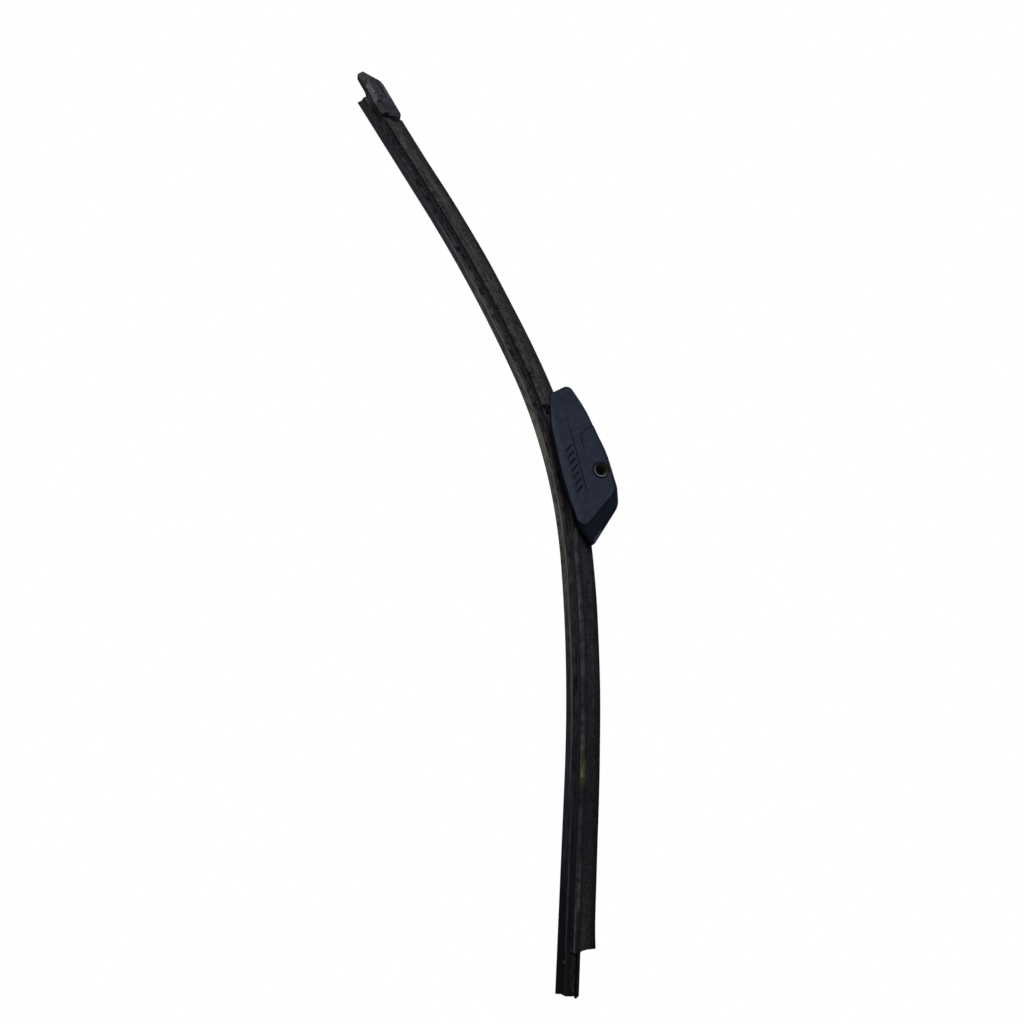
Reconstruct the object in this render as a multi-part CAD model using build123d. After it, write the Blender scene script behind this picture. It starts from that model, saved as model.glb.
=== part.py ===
from build123d import *
import os
from math import cos, degrees, sin

# Beam wiper blade: a rubber strip on two curved spring rails, a spoiler in two lengths,
# a riveted connector in the middle and a cap on one end.
# The origin is the middle of the connector's pivot. +X runs along the blade to its bare end,
# +Y along the pivot and +Z away from the glass. All sizes are in millimetres.

# Rail curve in the side view: tight middle arc, wider flank arcs, straight ends
MIDDLE_RADIUS = 279.0
MIDDLE_HALF_LENGTH = 50.0
FLANK_RADIUS = 759.0
FLANK_LENGTH = 100.0
CURVE_TOP_X = -11.7         # where the curve is highest
PIVOT_HEIGHT = 15.84        # pivot above the highest point of the curve

# Clearances
SEAT_GAP = 0.05             # between pieces that are pushed together
COVER_GAP = 0.1             # between the moulded cover and the metal inside it
SWING_GAP = 0.35            # beside and under the adapter that swings

# Spring rails
RAIL_THICKNESS = 0.9
RAIL_WIDTH = 3.5
RAIL_SPACING = 3.0          # between the two rails' inner edges
RAIL_TONGUE = 0.8           # width of the near rail's tip at the bare end
RAIL_TONGUE_LENGTH = 0.7    # past the rubber
RAIL_SHORTFALL = 4.0        # rubber past the rails inside the cap

# Wiping rubber
RUBBER_LENGTH = 450.0
CAPPED_REACH = 217.1        # along the curve, from its highest point to the capped end
HEAD_WIDTH = 7.2
HEAD_ROOF = 0.9             # rubber above the rails
HEAD_FLANGE = 0.9           # rubber below the rails
NECK_WIDTH = 1.2
NECK_HEIGHT = 1.4
SHOULDER_WIDTH = 4.8
SHOULDER_HEIGHT = 1.5
WEDGE_HEIGHT = 1.2
LIP_HEIGHT = 2.15
LIP_ROOT = 1.1
LIP_TIP = 0.65
END_BLOCK = 15.6            # stretch at the bare end where the neck's slots are filled

# Spoiler
CLAW_WALL = 0.85            # beside the rails
CLAW_FOOT = 1.8             # below the rails
CLAW_BAND_TOP = -0.3        # top of the claw's proud band, from the rails' middle
CLAW_GRIP = 0.8             # how far the foot reaches in under a rail
CLAW_STEP = 0.5             # step from the proud band to the wall above it
FIN_HEIGHT = 8.3            # above the rails' middle
FIN_TIP = 1.5               # thickness near the fin's top
FLANK_SAG = 0.62            # how hollow the flanks are, as a share of the claw's half width
UPPER_SPOILER_END = -26.5   # along the curve, inside the connector
LOWER_SPOILER_START = 36.3  # along the curve, inside the connector
SPOILER_SHORTFALL = 16.9    # bare rubber past the lower spoiler's fin
SPOILER_SLANT = 0.5         # claws past the fin at that end

# Pivot sleeve
SLEEVE_BORE = 4.85
SLEEVE_WALL = 0.4
FLARE_WIDTH = 0.8
FLARE_THICKNESS = 0.8
FLARE_STAND = 0.35          # flare above the housing's face
FLARE_RIM = 0.3             # flat rim round the flare's funnel
FUNNEL_DEPTH = 0.7

# Steel bracket
BRACKET_SHEET = 1.2
CRIMP_SHEET = 1.0
CRIMP_LENGTH = 10.0
BRACKET_START = -21.0       # along the curve
BRACKET_END = 27.0
EAR_RADIUS = 4.4
EAR_FOOT = 12.0

# Connector housing
HOUSING_WIDTH = 18.6
WALL = 2.1
WALL_TOP = 5.4              # above the pivot, at the bow end of the walls
SQUARE_END = 45.1           # from the pivot to the square end
SQUARE_CORNER = 3.5         # corner radius at the wall top
SQUARE_END_DROP = 10.65     # straight edge of the square end
TOP_RISE_LENGTH = 14.1      # steeper stretch of the wall tops, at the square end
TOP_RISE = 5.0
TOP_SLOPE_LENGTH = 35.1     # whole sloped stretch of the wall tops
TOP_SLOPE_DROP = 9.65
TOP_TURN_RADIUS = 60.0
HEEL_LEAN = 3.2             # how far the square end leans in towards the heel
HEEL_CORNER = 2.5
HEEL_LENGTH = 15.9          # sloped stretch of the lower edge
HEEL_LIFT = 0.45
HEEL_TURN_RADIUS = 40.0
SAG_X = 2.0                 # where the lower edge is lowest
SAG_DROP = 0.7
SAG_RADIUS = 150.0
HOUSING_CLAW = 1.2          # plastic below the crimped rails
BOW_TOP = 10.3              # from the pivot to where the face turns down
BOW_TOP_DROP = 0.4
BOW_TOP_RADIUS = 10.0
BOW_NOSE = 25.6             # from the pivot to the face's lower corner
BOW_NOSE_LIFT = 2.45        # face's lower corner above the lower edge
BOW_NOSE_RADIUS = 3.2
CHIN_BACK = 4.5             # from the face's lower corner back to the chin
CHIN_LIFT = 0.8
CHIN_RADIUS = 4.0
SHOULDER_SPAN = 9.0         # width of the bow's blunt middle
SHOULDER_RISE = 1.35        # blunt middle above the walls, at the bow
WALL_ROUND = 1.0            # faces below the wall top, at the pivot
WALL_CROWN = 0.7            # inner edges of the walls above the wall top, at the pivot
WALL_CROWN_RISE = 0.5       # the same edges higher at the bow
SHOULDER_CROWN = 0.6        # blunt middle above the wall top, at the pivot
SHOULDER_REACH = 6.7        # blunt middle past the faces, at the top
NOSE_REACH = 9.0            # the same at the nose
NOSE_LIFT = 4.05
NOSE_RADIUS = 1.6
SHOULDER_CHIN_BACK = 0.7
SHOULDER_CHIN_LIFT = 0.6
BOW_WALL = 3.2              # thickness of the bow's sloped front, along X
NOSE_WALL = 4.6
BULKHEAD_BACK = 6.6         # from the pivot
FLOOR_THICKNESS = 1.3
COUNTERBORE = 8.2
PANEL_DEPTH = 0.45
PANEL_TOP = -9.6
PANEL_BOTTOM = -16.0
PANEL_START = -41.0
PANEL_END = 12.6
PANEL_FADE = 14.0           # stretch over which the panel deepens from the square end
PANEL_END_LEAN = 4.6        # how far the panel's bow end leans back
PANEL_HEEL_LENGTH = 6.5     # slanted corner over the heel
PANEL_HEEL_LIFT = 3.4
PANEL_CORNER = 0.6
PANEL_TURN_RADIUS = 1.5
GROOVE_COUNT = 7
GROOVE_PITCH = 3.43
GROOVE_WIDTH = 1.1
GROOVE_DEPTH = 0.9
GROOVE_HEIGHT = 3.6
GROOVE_LEAN = 2.85
GROOVE_MARGIN = 1.25        # from the panel's top line to the grooves
GROOVE_END_MARGIN = 4.7     # from the panel's end to the last groove's foot
PAD_RISE = 0.45
PAD_START = -23.9
PAD_END = -6.0
PAD_DEPTH = 11.1            # from the wall top down to the pad's lower seam
PAD_LEAN = 4.6              # how far the pad's end seam leans in
PAD_CORNER_LIFT = 0.6
PAD_CORNER_RADIUS = 1.2
PAD_GROOVE = 0.4            # width of the groove round the pad
PAD_GROOVE_DEPTH = 0.55     # at the pad's end, shallower towards the pivot

# Hook adapter
BARREL_RADIUS = 4.6
CHEEK_SHEET = 1.1
TAIL_REACH = 22.5
TAIL_RADIUS = 3.2
WEB_THICKNESS = 2.2
LATCH_RADIUS = 1.3

# End cap, measured outwards from the rubber's end and up from the rails' middle
CAP_WIDTH = 13.2
CAP_COVER = 18.0            # rubber and rails inside the cap
CAP_NOSE = 15.2             # past the rubber
CAP_NOSE_HEIGHT = 3.6
CAP_NOSE_WIDTH = 3.0
CAP_NOSE_EDGE = 0.7         # edge radius
CAP_NECK = 6.0              # where the nose narrows, past the rubber
CAP_NECK_WIDTH = 4.6
CAP_CHEEK = 0.9             # side wall beside the rubber's end
CAP_TAPER = 6.0             # full width ends this far before the rubber's end
CAP_TOP_WIDTH = 3.6
CAP_RISE = 1.3              # cap above the fin, at its highest
CAP_REAR_DROP = 0.9         # lower at the rear than there
CAP_REAR_LEAN = 0.3
CAP_REAR_RADIUS = 2.8
CAP_BROW = 4.8              # where the top turns down, past the rubber
CAP_BROW_RADIUS = 6.0
CAP_DEPTH = 2.7             # below the rails' middle
CAP_BELLY = 7.0             # where the underside starts to rise, before the rubber's end
CAP_NOTCH = 2.7             # rear step in the side walls
CAP_SHELF_GAP = 0.3         # step above the rails
CAP_WINDOW = 5.2
CAP_WINDOW_HEIGHT = 2.2
CAP_WINDOW_DEPTH = 0.4
CAP_WINDOW_MARGIN = 2.2     # from the step to the window
CAP_SLOT_LENGTH = 7.3
CAP_SLOT_WIDTH = 0.9
CAP_SLOT_DEPTH = 0.5
CAP_SLOT_HEIGHT = 6.6
CAP_SLOT_SHIFT = 0.8        # slot's middle past the rubber

# Worked-out sizes
BARE_END = RUBBER_LENGTH - CAPPED_REACH
RAIL_HALF = RAIL_THICKNESS / 2
RAIL_INNER = RAIL_SPACING / 2
RAIL_OUTER = RAIL_INNER + RAIL_WIDTH
HEAD_TOP = RAIL_HALF + SEAT_GAP + HEAD_ROOF
CLAW_OUTER = RAIL_OUTER + SEAT_GAP + CLAW_WALL
CLAW_LOW = -(RAIL_HALF + SEAT_GAP + CLAW_FOOT)
FACE_HALF = HOUSING_WIDTH / 2
CHANNEL_HALF = FACE_HALF - WALL
BRACKET_HALF = CHANNEL_HALF - COVER_GAP
EAR_INNER = BRACKET_HALF - BRACKET_SHEET
BASE_LOW = HEAD_TOP + SEAT_GAP
BASE_TOP = BASE_LOW + BRACKET_SHEET
CRIMP_LOW = -(RAIL_HALF + SEAT_GAP + CRIMP_SHEET)
FLOOR_LOW = BASE_TOP + COVER_GAP
FLOOR_TOP = FLOOR_LOW + FLOOR_THICKNESS
HOUSING_LOW = CRIMP_LOW - COVER_GAP - HOUSING_CLAW
SLEEVE_OUTER = SLEEVE_BORE / 2 + SLEEVE_WALL
SLEEVE_HALF = FACE_HALF + FLARE_STAND
ADAPTER_HALF = EAR_INNER - SWING_GAP
CAP_SHELF = RAIL_HALF + COVER_GAP + CAP_SHELF_GAP
FAR = 60.0                  # longer than any cut through the connector


# Places along the rail curve
def turn(s):
    """Angle, in radians, by which the curve has turned down at s."""
    reach = abs(s)
    middle = min(reach, MIDDLE_HALF_LENGTH)
    flank = min(max(reach - MIDDLE_HALF_LENGTH, 0), FLANK_LENGTH)
    angle = middle / MIDDLE_RADIUS + flank / FLANK_RADIUS
    return angle if s > 0 else -angle


def at(s, height=0.0):
    """Point at s along the curve, lifted off it by a height."""
    reach = abs(s)
    side = 1 if s > 0 else -1
    bend = min(reach, MIDDLE_HALF_LENGTH) / MIDDLE_RADIUS
    end = abs(turn(s))
    rest = max(reach - MIDDLE_HALF_LENGTH - FLANK_LENGTH, 0)
    x = MIDDLE_RADIUS * sin(bend) + FLANK_RADIUS * (sin(end) - sin(bend)) + rest * cos(end)
    drop = MIDDLE_RADIUS * (1 - cos(bend)) + FLANK_RADIUS * (cos(bend) - cos(end)) + rest * sin(end)
    return Vector(CURVE_TOP_X + side * x, 0, -PIVOT_HEIGHT - drop) + up(s) * height


def up(s):
    """Direction away from the glass at s."""
    return Vector(sin(turn(s)), 0, cos(turn(s)))


def section_plane(s):
    """Plane across the blade at s: sketch x is +Y and sketch y points away from the glass."""
    heading = Vector(cos(turn(s)), 0, -sin(turn(s)))
    return Plane(origin=at(s), x_dir=(0, 1, 0), z_dir=heading)


def along(section, start, end):
    """Section carried along the curve: turned about each arc's centre, drawn out on straight ends."""
    flank_end = MIDDLE_HALF_LENGTH + FLANK_LENGTH
    far_end = max(abs(start), abs(end), flank_end) + 1
    stops = [-far_end, -flank_end, -MIDDLE_HALF_LENGTH, MIDDLE_HALF_LENGTH, flank_end, far_end]
    radii = [None, FLANK_RADIUS, MIDDLE_RADIUS, FLANK_RADIUS, None]
    body = None
    for low, high, radius in zip(stops, stops[1:], radii):
        first = max(low, start)
        last = min(high, end)
        if last <= first:
            continue
        face = section_plane(first) * section
        if radius is None:
            piece = extrude(face, amount=last - first)
        else:
            centre = at(first, -radius)
            piece = revolve(face, Axis(centre, (0, 1, 0)), degrees((last - first) / radius))
        body = piece if body is None else body + piece
    return body


# Sketch helpers
def symmetric(half):
    """Half section and its mirror image across the blade's middle."""
    return half + mirror(half, about=Plane.YZ)


def polygon(*points):
    return make_face(Polyline(*points, close=True))


def strip(inner, outer, low, high):
    """Rectangle from one distance across to another, between two heights."""
    return polygon((inner, low), (outer, low), (outer, high), (inner, high))


def rounded(corners):
    """Closed outline through corners given as (x, z, radius)."""
    points = [(x, z) for x, z, _ in corners]
    return make_face(FilletPolyline(*points, radius=[r for _, _, r in corners], close=True))


def side_plane(across):
    """Plane of the side view, moved towards the near side."""
    return Plane.XZ.offset(across)


def both_sides(piece):
    return piece + mirror(piece, about=Plane.XZ)


def near_prism(outline, inner, outer):
    """Side-view outline given thickness between two distances on the near side."""
    return extrude(side_plane(inner) * outline, amount=outer - inner)


def pivot_rod(radius, half_length):
    return Cylinder(radius, 2 * half_length, rotation=(90, 0, 0))


# Rubber strip
def wiping_rubber():
    slot = RAIL_HALF + SEAT_GAP
    flange_low = -slot - HEAD_FLANGE
    neck_low = flange_low - NECK_HEIGHT
    shoulder_low = neck_low - SHOULDER_HEIGHT
    lip_top = shoulder_low - WEDGE_HEIGHT
    half = polygon(
        (0, HEAD_TOP),
        (HEAD_WIDTH / 2, HEAD_TOP),
        (HEAD_WIDTH / 2, slot),
        (RAIL_INNER - SEAT_GAP, slot),
        (RAIL_INNER - SEAT_GAP, -slot),
        (HEAD_WIDTH / 2, -slot),
        (HEAD_WIDTH / 2, flange_low),
        (NECK_WIDTH / 2, flange_low),
        (NECK_WIDTH / 2, neck_low),
        (SHOULDER_WIDTH / 2, neck_low),
        (SHOULDER_WIDTH / 2, shoulder_low),
        (LIP_ROOT / 2, lip_top),
        (LIP_TIP / 2, lip_top - LIP_HEIGHT),
        (0, lip_top - LIP_HEIGHT),
    )
    block = strip(-HEAD_WIDTH / 2, HEAD_WIDTH / 2, shoulder_low, flange_low)
    return along(symmetric(half), -CAPPED_REACH, BARE_END) + along(block, BARE_END - END_BLOCK, BARE_END)


# Spring rails
def rail(side):
    section = strip(side * RAIL_INNER, side * RAIL_OUTER, -RAIL_HALF, RAIL_HALF)
    return along(section, -CAPPED_REACH + RAIL_SHORTFALL, BARE_END - SEAT_GAP)


def rail_with_tongue():
    """Near rail, whose narrow tip stands out of the rubber at the bare end."""
    middle = -(RAIL_INNER + RAIL_OUTER) / 2
    tongue = strip(middle - RAIL_TONGUE / 2, middle + RAIL_TONGUE / 2, -RAIL_HALF, RAIL_HALF)
    return rail(-1) + along(tongue, BARE_END - RAIL_TONGUE_LENGTH, BARE_END + RAIL_TONGUE_LENGTH)


# Spoiler fin with claws
def fin_outline(grow=0.0):
    """Outer half outline of the spoiler, from its claw's foot to the fin's top."""
    foot = (CLAW_OUTER + grow, CLAW_LOW - grow)
    band_top = (CLAW_OUTER + grow, CLAW_BAND_TOP)
    ledge = (CLAW_OUTER - CLAW_STEP + grow, CLAW_BAND_TOP)
    shoulder = (CLAW_OUTER - CLAW_STEP + grow, RAIL_HALF + SEAT_GAP)
    tip = (FIN_TIP / 2 + grow, FIN_HEIGHT - FIN_TIP / 2)
    hollow = (CLAW_OUTER * (1 - FLANK_SAG) + grow, RAIL_HALF + (FIN_HEIGHT - RAIL_HALF) / 3)
    crown = (0, FIN_HEIGHT + grow)
    outline = Polyline(foot, band_top, ledge, shoulder)
    outline += ThreePointArc(shoulder, hollow, tip)
    outline += Line(tip, crown)
    return outline, foot, crown


def spoiler(start, end):
    outline, foot, crown = fin_outline()
    seat = RAIL_HALF + SEAT_GAP
    head_side = HEAD_WIDTH / 2 + SEAT_GAP
    rail_side = RAIL_OUTER + SEAT_GAP
    grip = rail_side - CLAW_GRIP
    inside = Polyline(
        crown,
        (0, HEAD_TOP + SEAT_GAP),
        (head_side, HEAD_TOP + SEAT_GAP),
        (head_side, seat),
        (rail_side, seat),
        (rail_side, -seat),
        (grip, -seat),
        (grip, CLAW_LOW),
        foot,
    )
    return along(symmetric(make_face(outline + inside)), start, end)


def slanted_spoiler(start, end):
    """Spoiler whose claws run on a little past the fin at its far end."""
    beyond = 2 * SPOILER_SLANT
    cut = polygon((0, FIN_HEIGHT), (SPOILER_SLANT, CLAW_LOW), (beyond, CLAW_LOW), (beyond, FIN_HEIGHT))
    side = Plane(origin=at(end), x_dir=section_plane(end).z_dir, z_dir=(0, -1, 0))
    return spoiler(start, end + SPOILER_SLANT) - extrude(side * cut, amount=FAR, both=True)


# Hollow rivet
def pivot_sleeve():
    flare_radius = SLEEVE_OUTER + FLARE_WIDTH
    flare_top = SLEEVE_HALF - FLARE_THICKNESS
    wall = polygon(
        (SLEEVE_BORE / 2, 0),
        (SLEEVE_OUTER, 0),
        (SLEEVE_OUTER, flare_top),
        (flare_radius, flare_top),
        (flare_radius, SLEEVE_HALF),
        (flare_radius - FLARE_RIM, SLEEVE_HALF),
        (SLEEVE_BORE / 2, SLEEVE_HALF - FUNNEL_DEPTH),
    )
    return both_sides(revolve(wall, Axis.Y))


# Steel saddle on the rails
def bracket():
    base = along(strip(-BRACKET_HALF, BRACKET_HALF, BASE_LOW, BASE_TOP), BRACKET_START, BRACKET_END)
    inner = RAIL_OUTER + SEAT_GAP
    outer = inner + CRIMP_SHEET
    seat = RAIL_HALF + SEAT_GAP
    crimp = symmetric(
        polygon(
            (inner, BASE_TOP),
            (outer, BASE_TOP),
            (outer, CRIMP_LOW),
            (inner - CLAW_GRIP, CRIMP_LOW),
            (inner - CLAW_GRIP, -seat),
            (inner, -seat),
        )
    )
    body = base
    for start in (BRACKET_START, BRACKET_END - CRIMP_LENGTH):
        body += along(crimp, start, start + CRIMP_LENGTH)
    pivot_s = -CURVE_TOP_X
    foot = at(pivot_s, BASE_LOW).Z + BRACKET_SHEET / 2
    ear = make_hull(
        (Circle(EAR_RADIUS) + polygon((-EAR_FOOT / 2, foot), (EAR_FOOT / 2, foot), (0, 0))).edges()
    )
    body += both_sides(near_prism(ear, EAR_INNER, BRACKET_HALF))
    return body - pivot_rod(SLEEVE_OUTER + SEAT_GAP, FAR)


# Moulded cover
def housing_outlines():
    """Outlines of the flat faces, of the walls' inner edges and of the bow's blunt middle."""
    lower = at(0, HOUSING_LOW).Z
    square_top = WALL_TOP - TOP_SLOPE_DROP
    square_corner = (-SQUARE_END, square_top, SQUARE_CORNER)
    top_rise = (-SQUARE_END + TOP_RISE_LENGTH, square_top + TOP_RISE, TOP_TURN_RADIUS)
    top_turn = -SQUARE_END + TOP_SLOPE_LENGTH
    heel = (-SQUARE_END + HEEL_LEAN, square_top - SQUARE_END_DROP, HEEL_CORNER)
    heel_turn = (heel[0] + HEEL_LENGTH, lower + HEEL_LIFT, HEEL_TURN_RADIUS)
    sag = (SAG_X, lower - SAG_DROP, SAG_RADIUS)
    face = [
        square_corner,
        top_rise,
        (top_turn, WALL_TOP - WALL_ROUND, TOP_TURN_RADIUS),
        (BOW_TOP, WALL_TOP - BOW_TOP_DROP, BOW_TOP_RADIUS),
        (BOW_NOSE, lower + BOW_NOSE_LIFT, BOW_NOSE_RADIUS),
        (BOW_NOSE - CHIN_BACK, lower + CHIN_LIFT, CHIN_RADIUS),
        sag,
        heel_turn,
        heel,
    ]
    shoulder = [
        square_corner,
        top_rise,
        (top_turn, WALL_TOP + SHOULDER_CROWN, TOP_TURN_RADIUS),
        (BOW_TOP + SHOULDER_REACH, WALL_TOP + SHOULDER_RISE, BOW_TOP_RADIUS),
        (BOW_NOSE + NOSE_REACH, lower + BOW_NOSE_LIFT + NOSE_LIFT, NOSE_RADIUS),
        (BOW_NOSE - SHOULDER_CHIN_BACK, lower + SHOULDER_CHIN_LIFT, NOSE_RADIUS),
        sag,
        heel_turn,
        heel,
    ]
    share = (FACE_HALF - CHANNEL_HALF) / (FACE_HALF - SHOULDER_SPAN / 2)
    edge = [tuple(a + (b - a) * share for a, b in zip(*pair)) for pair in zip(face, shoulder)]
    edge[2] = (top_turn, WALL_TOP + WALL_CROWN, TOP_TURN_RADIUS)
    edge[3] = (edge[3][0], WALL_TOP + WALL_CROWN + WALL_CROWN_RISE, BOW_TOP_RADIUS)
    return face, edge, shoulder


def bevelled_body(outlines, halves):
    """Two flat faces that slope in, outline by outline, to the last one in the middle."""
    near = loft([side_plane(half) * outline for outline, half in zip(outlines, halves)], ruled=True)
    core = extrude(Plane.XZ * outlines[-1], amount=halves[-1], both=True)
    return core + both_sides(near)


def connector_housing():
    outlines = [rounded(corners) for corners in housing_outlines()]
    face = outlines[0]
    hull = bevelled_body(outlines, (FACE_HALF, CHANNEL_HALF, SHOULDER_SPAN / 2))
    body = hull - housing_channel() - housing_pocket() - housing_passage()
    body += housing_floor()
    body += housing_claws() & hull
    nose_s = BOW_NOSE + NOSE_REACH - CURVE_TOP_X
    outline, foot, crown = fin_outline(SWING_GAP)
    tunnel = make_face(outline + Polyline(crown, (0, CLAW_LOW - FAR), (foot[0], CLAW_LOW - FAR), foot))
    body -= along(symmetric(tunnel), LOWER_SPOILER_START - SWING_GAP, nose_s + WALL)
    body += both_sides(pivot_pad() & near_prism(face, FACE_HALF - WALL / 2, FACE_HALF + WALL))
    body -= both_sides(face_relief() + pad_groove())
    body -= pivot_rod(SLEEVE_OUTER + SEAT_GAP, FAR)
    counterbore = near_prism(Circle(COUNTERBORE / 2), SLEEVE_HALF - FLARE_THICKNESS, FAR)
    return body - both_sides(counterbore)


def housing_channel():
    """Open space between the walls, from the square end to the bulkhead."""
    return extrude(Plane.XZ * strip(-SQUARE_END - WALL, BULKHEAD_BACK, -FAR, FAR), CHANNEL_HALF, both=True)


def housing_pocket():
    """Hollow of the bow, open below."""
    front = BULKHEAD_BACK + WALL
    nose_height = at(0, HOUSING_LOW).Z + BOW_NOSE_LIFT
    roof = WALL_TOP - WALL
    face = polygon(
        (front, -FAR),
        (front, roof - WALL / 2),
        (front + WALL / 2, roof - WALL / 2),
        (BOW_NOSE - BOW_WALL, nose_height),
        (BOW_NOSE - BOW_WALL, -FAR),
    )
    shoulder = polygon(
        (front, -FAR),
        (front, roof + SHOULDER_RISE / 2),
        (BOW_TOP + SHOULDER_REACH - NOSE_WALL, roof + SHOULDER_RISE / 2),
        (BOW_NOSE + NOSE_REACH - NOSE_WALL, nose_height + NOSE_LIFT),
        (BOW_NOSE + NOSE_REACH - NOSE_WALL, -FAR),
    )
    return bevelled_body((face, shoulder), (CHANNEL_HALF, SHOULDER_SPAN / 2 - WALL / 2))


def housing_passage():
    """Way for the crimped rails and the rubber, under the floor and the bulkhead."""
    section = strip(-CHANNEL_HALF, CHANNEL_HALF, -FAR, FLOOR_LOW)
    return along(section, BRACKET_START, BULKHEAD_BACK + 2 * WALL - CURVE_TOP_X)


def housing_floor():
    """Floor between the walls, above the bracket, with slots for the bracket's ears."""
    floor = along(
        strip(-CHANNEL_HALF - WALL / 2, CHANNEL_HALF + WALL / 2, FLOOR_LOW, FLOOR_TOP),
        BRACKET_START,
        BULKHEAD_BACK - CURVE_TOP_X + WALL / 2,
    )
    slot = strip(-EAR_FOOT / 2 - SWING_GAP, EAR_FOOT / 2 + SWING_GAP, -FAR, FAR)
    return floor - both_sides(near_prism(slot, EAR_INNER - SWING_GAP, CHANNEL_HALF))


def housing_claws():
    """Inward feet of the walls, below the crimped rails."""
    foot = strip(RAIL_OUTER - CLAW_GRIP, CHANNEL_HALF + WALL / 2, -FAR, CRIMP_LOW - COVER_GAP)
    return along(symmetric(foot), BRACKET_START, BRACKET_END)


def pivot_pad():
    """Pad at the pivot: proud at its seam and level with the face towards the pivot."""
    wedge = polygon((PAD_START, -FACE_HALF), (PAD_START, -FACE_HALF - PAD_RISE), (PAD_END, -FACE_HALF))
    block = polygon(
        (PAD_START, -FACE_HALF + WALL / 2),
        (PAD_START, -FACE_HALF),
        (PAD_END, -FACE_HALF),
        (PAD_END, -FACE_HALF + WALL / 2),
    )
    solid = extrude(Plane.XY * (wedge + block), amount=FAR, both=True)
    return solid & near_prism(pad_seam(), FACE_HALF - WALL / 2, FACE_HALF + WALL)


def pad_seam():
    """Outline of the pad in the side view."""
    low = WALL_TOP - PAD_DEPTH
    return rounded(
        [
            (PAD_START, WALL_TOP, 0.0),
            (PAD_START + PAD_LEAN, low + PAD_CORNER_LIFT, PAD_CORNER_RADIUS),
            (PAD_END, low, 0.0),
            (PAD_END, WALL_TOP, 0.0),
        ]
    )


def pad_groove():
    """Groove round the pad's seam, which runs out towards the pivot."""
    start = PAD_START - PAD_GROOVE
    ring = offset(pad_seam(), amount=PAD_GROOVE, kind=Kind.INTERSECTION) - pad_seam()
    fade = polygon(
        (start, -FACE_HALF - WALL),
        (start, -FACE_HALF + PAD_GROOVE_DEPTH),
        (PAD_END, -FACE_HALF),
        (PAD_END, -FACE_HALF - WALL),
    )
    depth = extrude(Plane.XY * fade, amount=FAR, both=True)
    return depth & near_prism(ring, FACE_HALF - WALL, FACE_HALF + WALL)


def face_relief():
    """Recessed strip of the near face and the slanted grooves in it."""
    panel = rounded(
        [
            (PANEL_START, PANEL_TOP, PANEL_CORNER),
            (PANEL_END - PANEL_END_LEAN, PANEL_TOP, PANEL_TURN_RADIUS),
            (PANEL_END, PANEL_BOTTOM, PANEL_CORNER),
            (PANEL_START + PANEL_HEEL_LENGTH, PANEL_BOTTOM, PANEL_TURN_RADIUS),
            (PANEL_START, PANEL_BOTTOM + PANEL_HEEL_LIFT, PANEL_TURN_RADIUS),
        ]
    )
    floor = polygon(
        (PANEL_START, -FACE_HALF - WALL),
        (PANEL_START, -FACE_HALF),
        (PANEL_START + PANEL_FADE, -FACE_HALF + PANEL_DEPTH),
        (PANEL_END, -FACE_HALF + PANEL_DEPTH),
        (PANEL_END, -FACE_HALF - WALL),
    )
    relief = extrude(Plane.XY * floor, amount=FAR, both=True)
    relief &= near_prism(panel, FACE_HALF - WALL, FACE_HALF + WALL)
    high = PANEL_TOP - GROOVE_MARGIN
    last = PANEL_END - GROOVE_END_MARGIN
    for i in range(GROOVE_COUNT):
        foot = last - i * GROOVE_PITCH
        top = foot - GROOVE_LEAN
        groove = polygon(
            (foot, high - GROOVE_HEIGHT),
            (foot + GROOVE_WIDTH, high - GROOVE_HEIGHT),
            (top + GROOVE_WIDTH, high),
            (top, high),
        )
        relief += near_prism(groove, FACE_HALF - PANEL_DEPTH - GROOVE_DEPTH, FACE_HALF)
    return relief


# Adapter for a hooked wiper arm
def hook_adapter():
    tail_s = -TAIL_REACH - CURVE_TOP_X
    tail = (at(tail_s).X, at(tail_s, FLOOR_TOP).Z + SWING_GAP + TAIL_RADIUS)
    barrel = pivot_rod(BARREL_RADIUS, ADAPTER_HALF)
    link = make_hull((Circle(BARREL_RADIUS) + Pos(*tail) * Circle(TAIL_RADIUS)).edges())
    cheeks = both_sides(near_prism(link, ADAPTER_HALF - CHEEK_SHEET, ADAPTER_HALF))
    slab = make_hull((Circle(WEB_THICKNESS / 2) + Pos(*tail) * Circle(WEB_THICKNESS / 2)).edges())
    web = extrude(Plane.XZ * slab, amount=ADAPTER_HALF - CHEEK_SHEET / 2, both=True)
    latch_place = Pos(tail[0], 0, tail[1] + WEB_THICKNESS / 2)
    latch = latch_place * pivot_rod(LATCH_RADIUS, ADAPTER_HALF - 2 * CHEEK_SHEET)
    return barrel + cheeks + web + latch - pivot_rod(SLEEVE_OUTER + SEAT_GAP, FAR)


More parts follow.
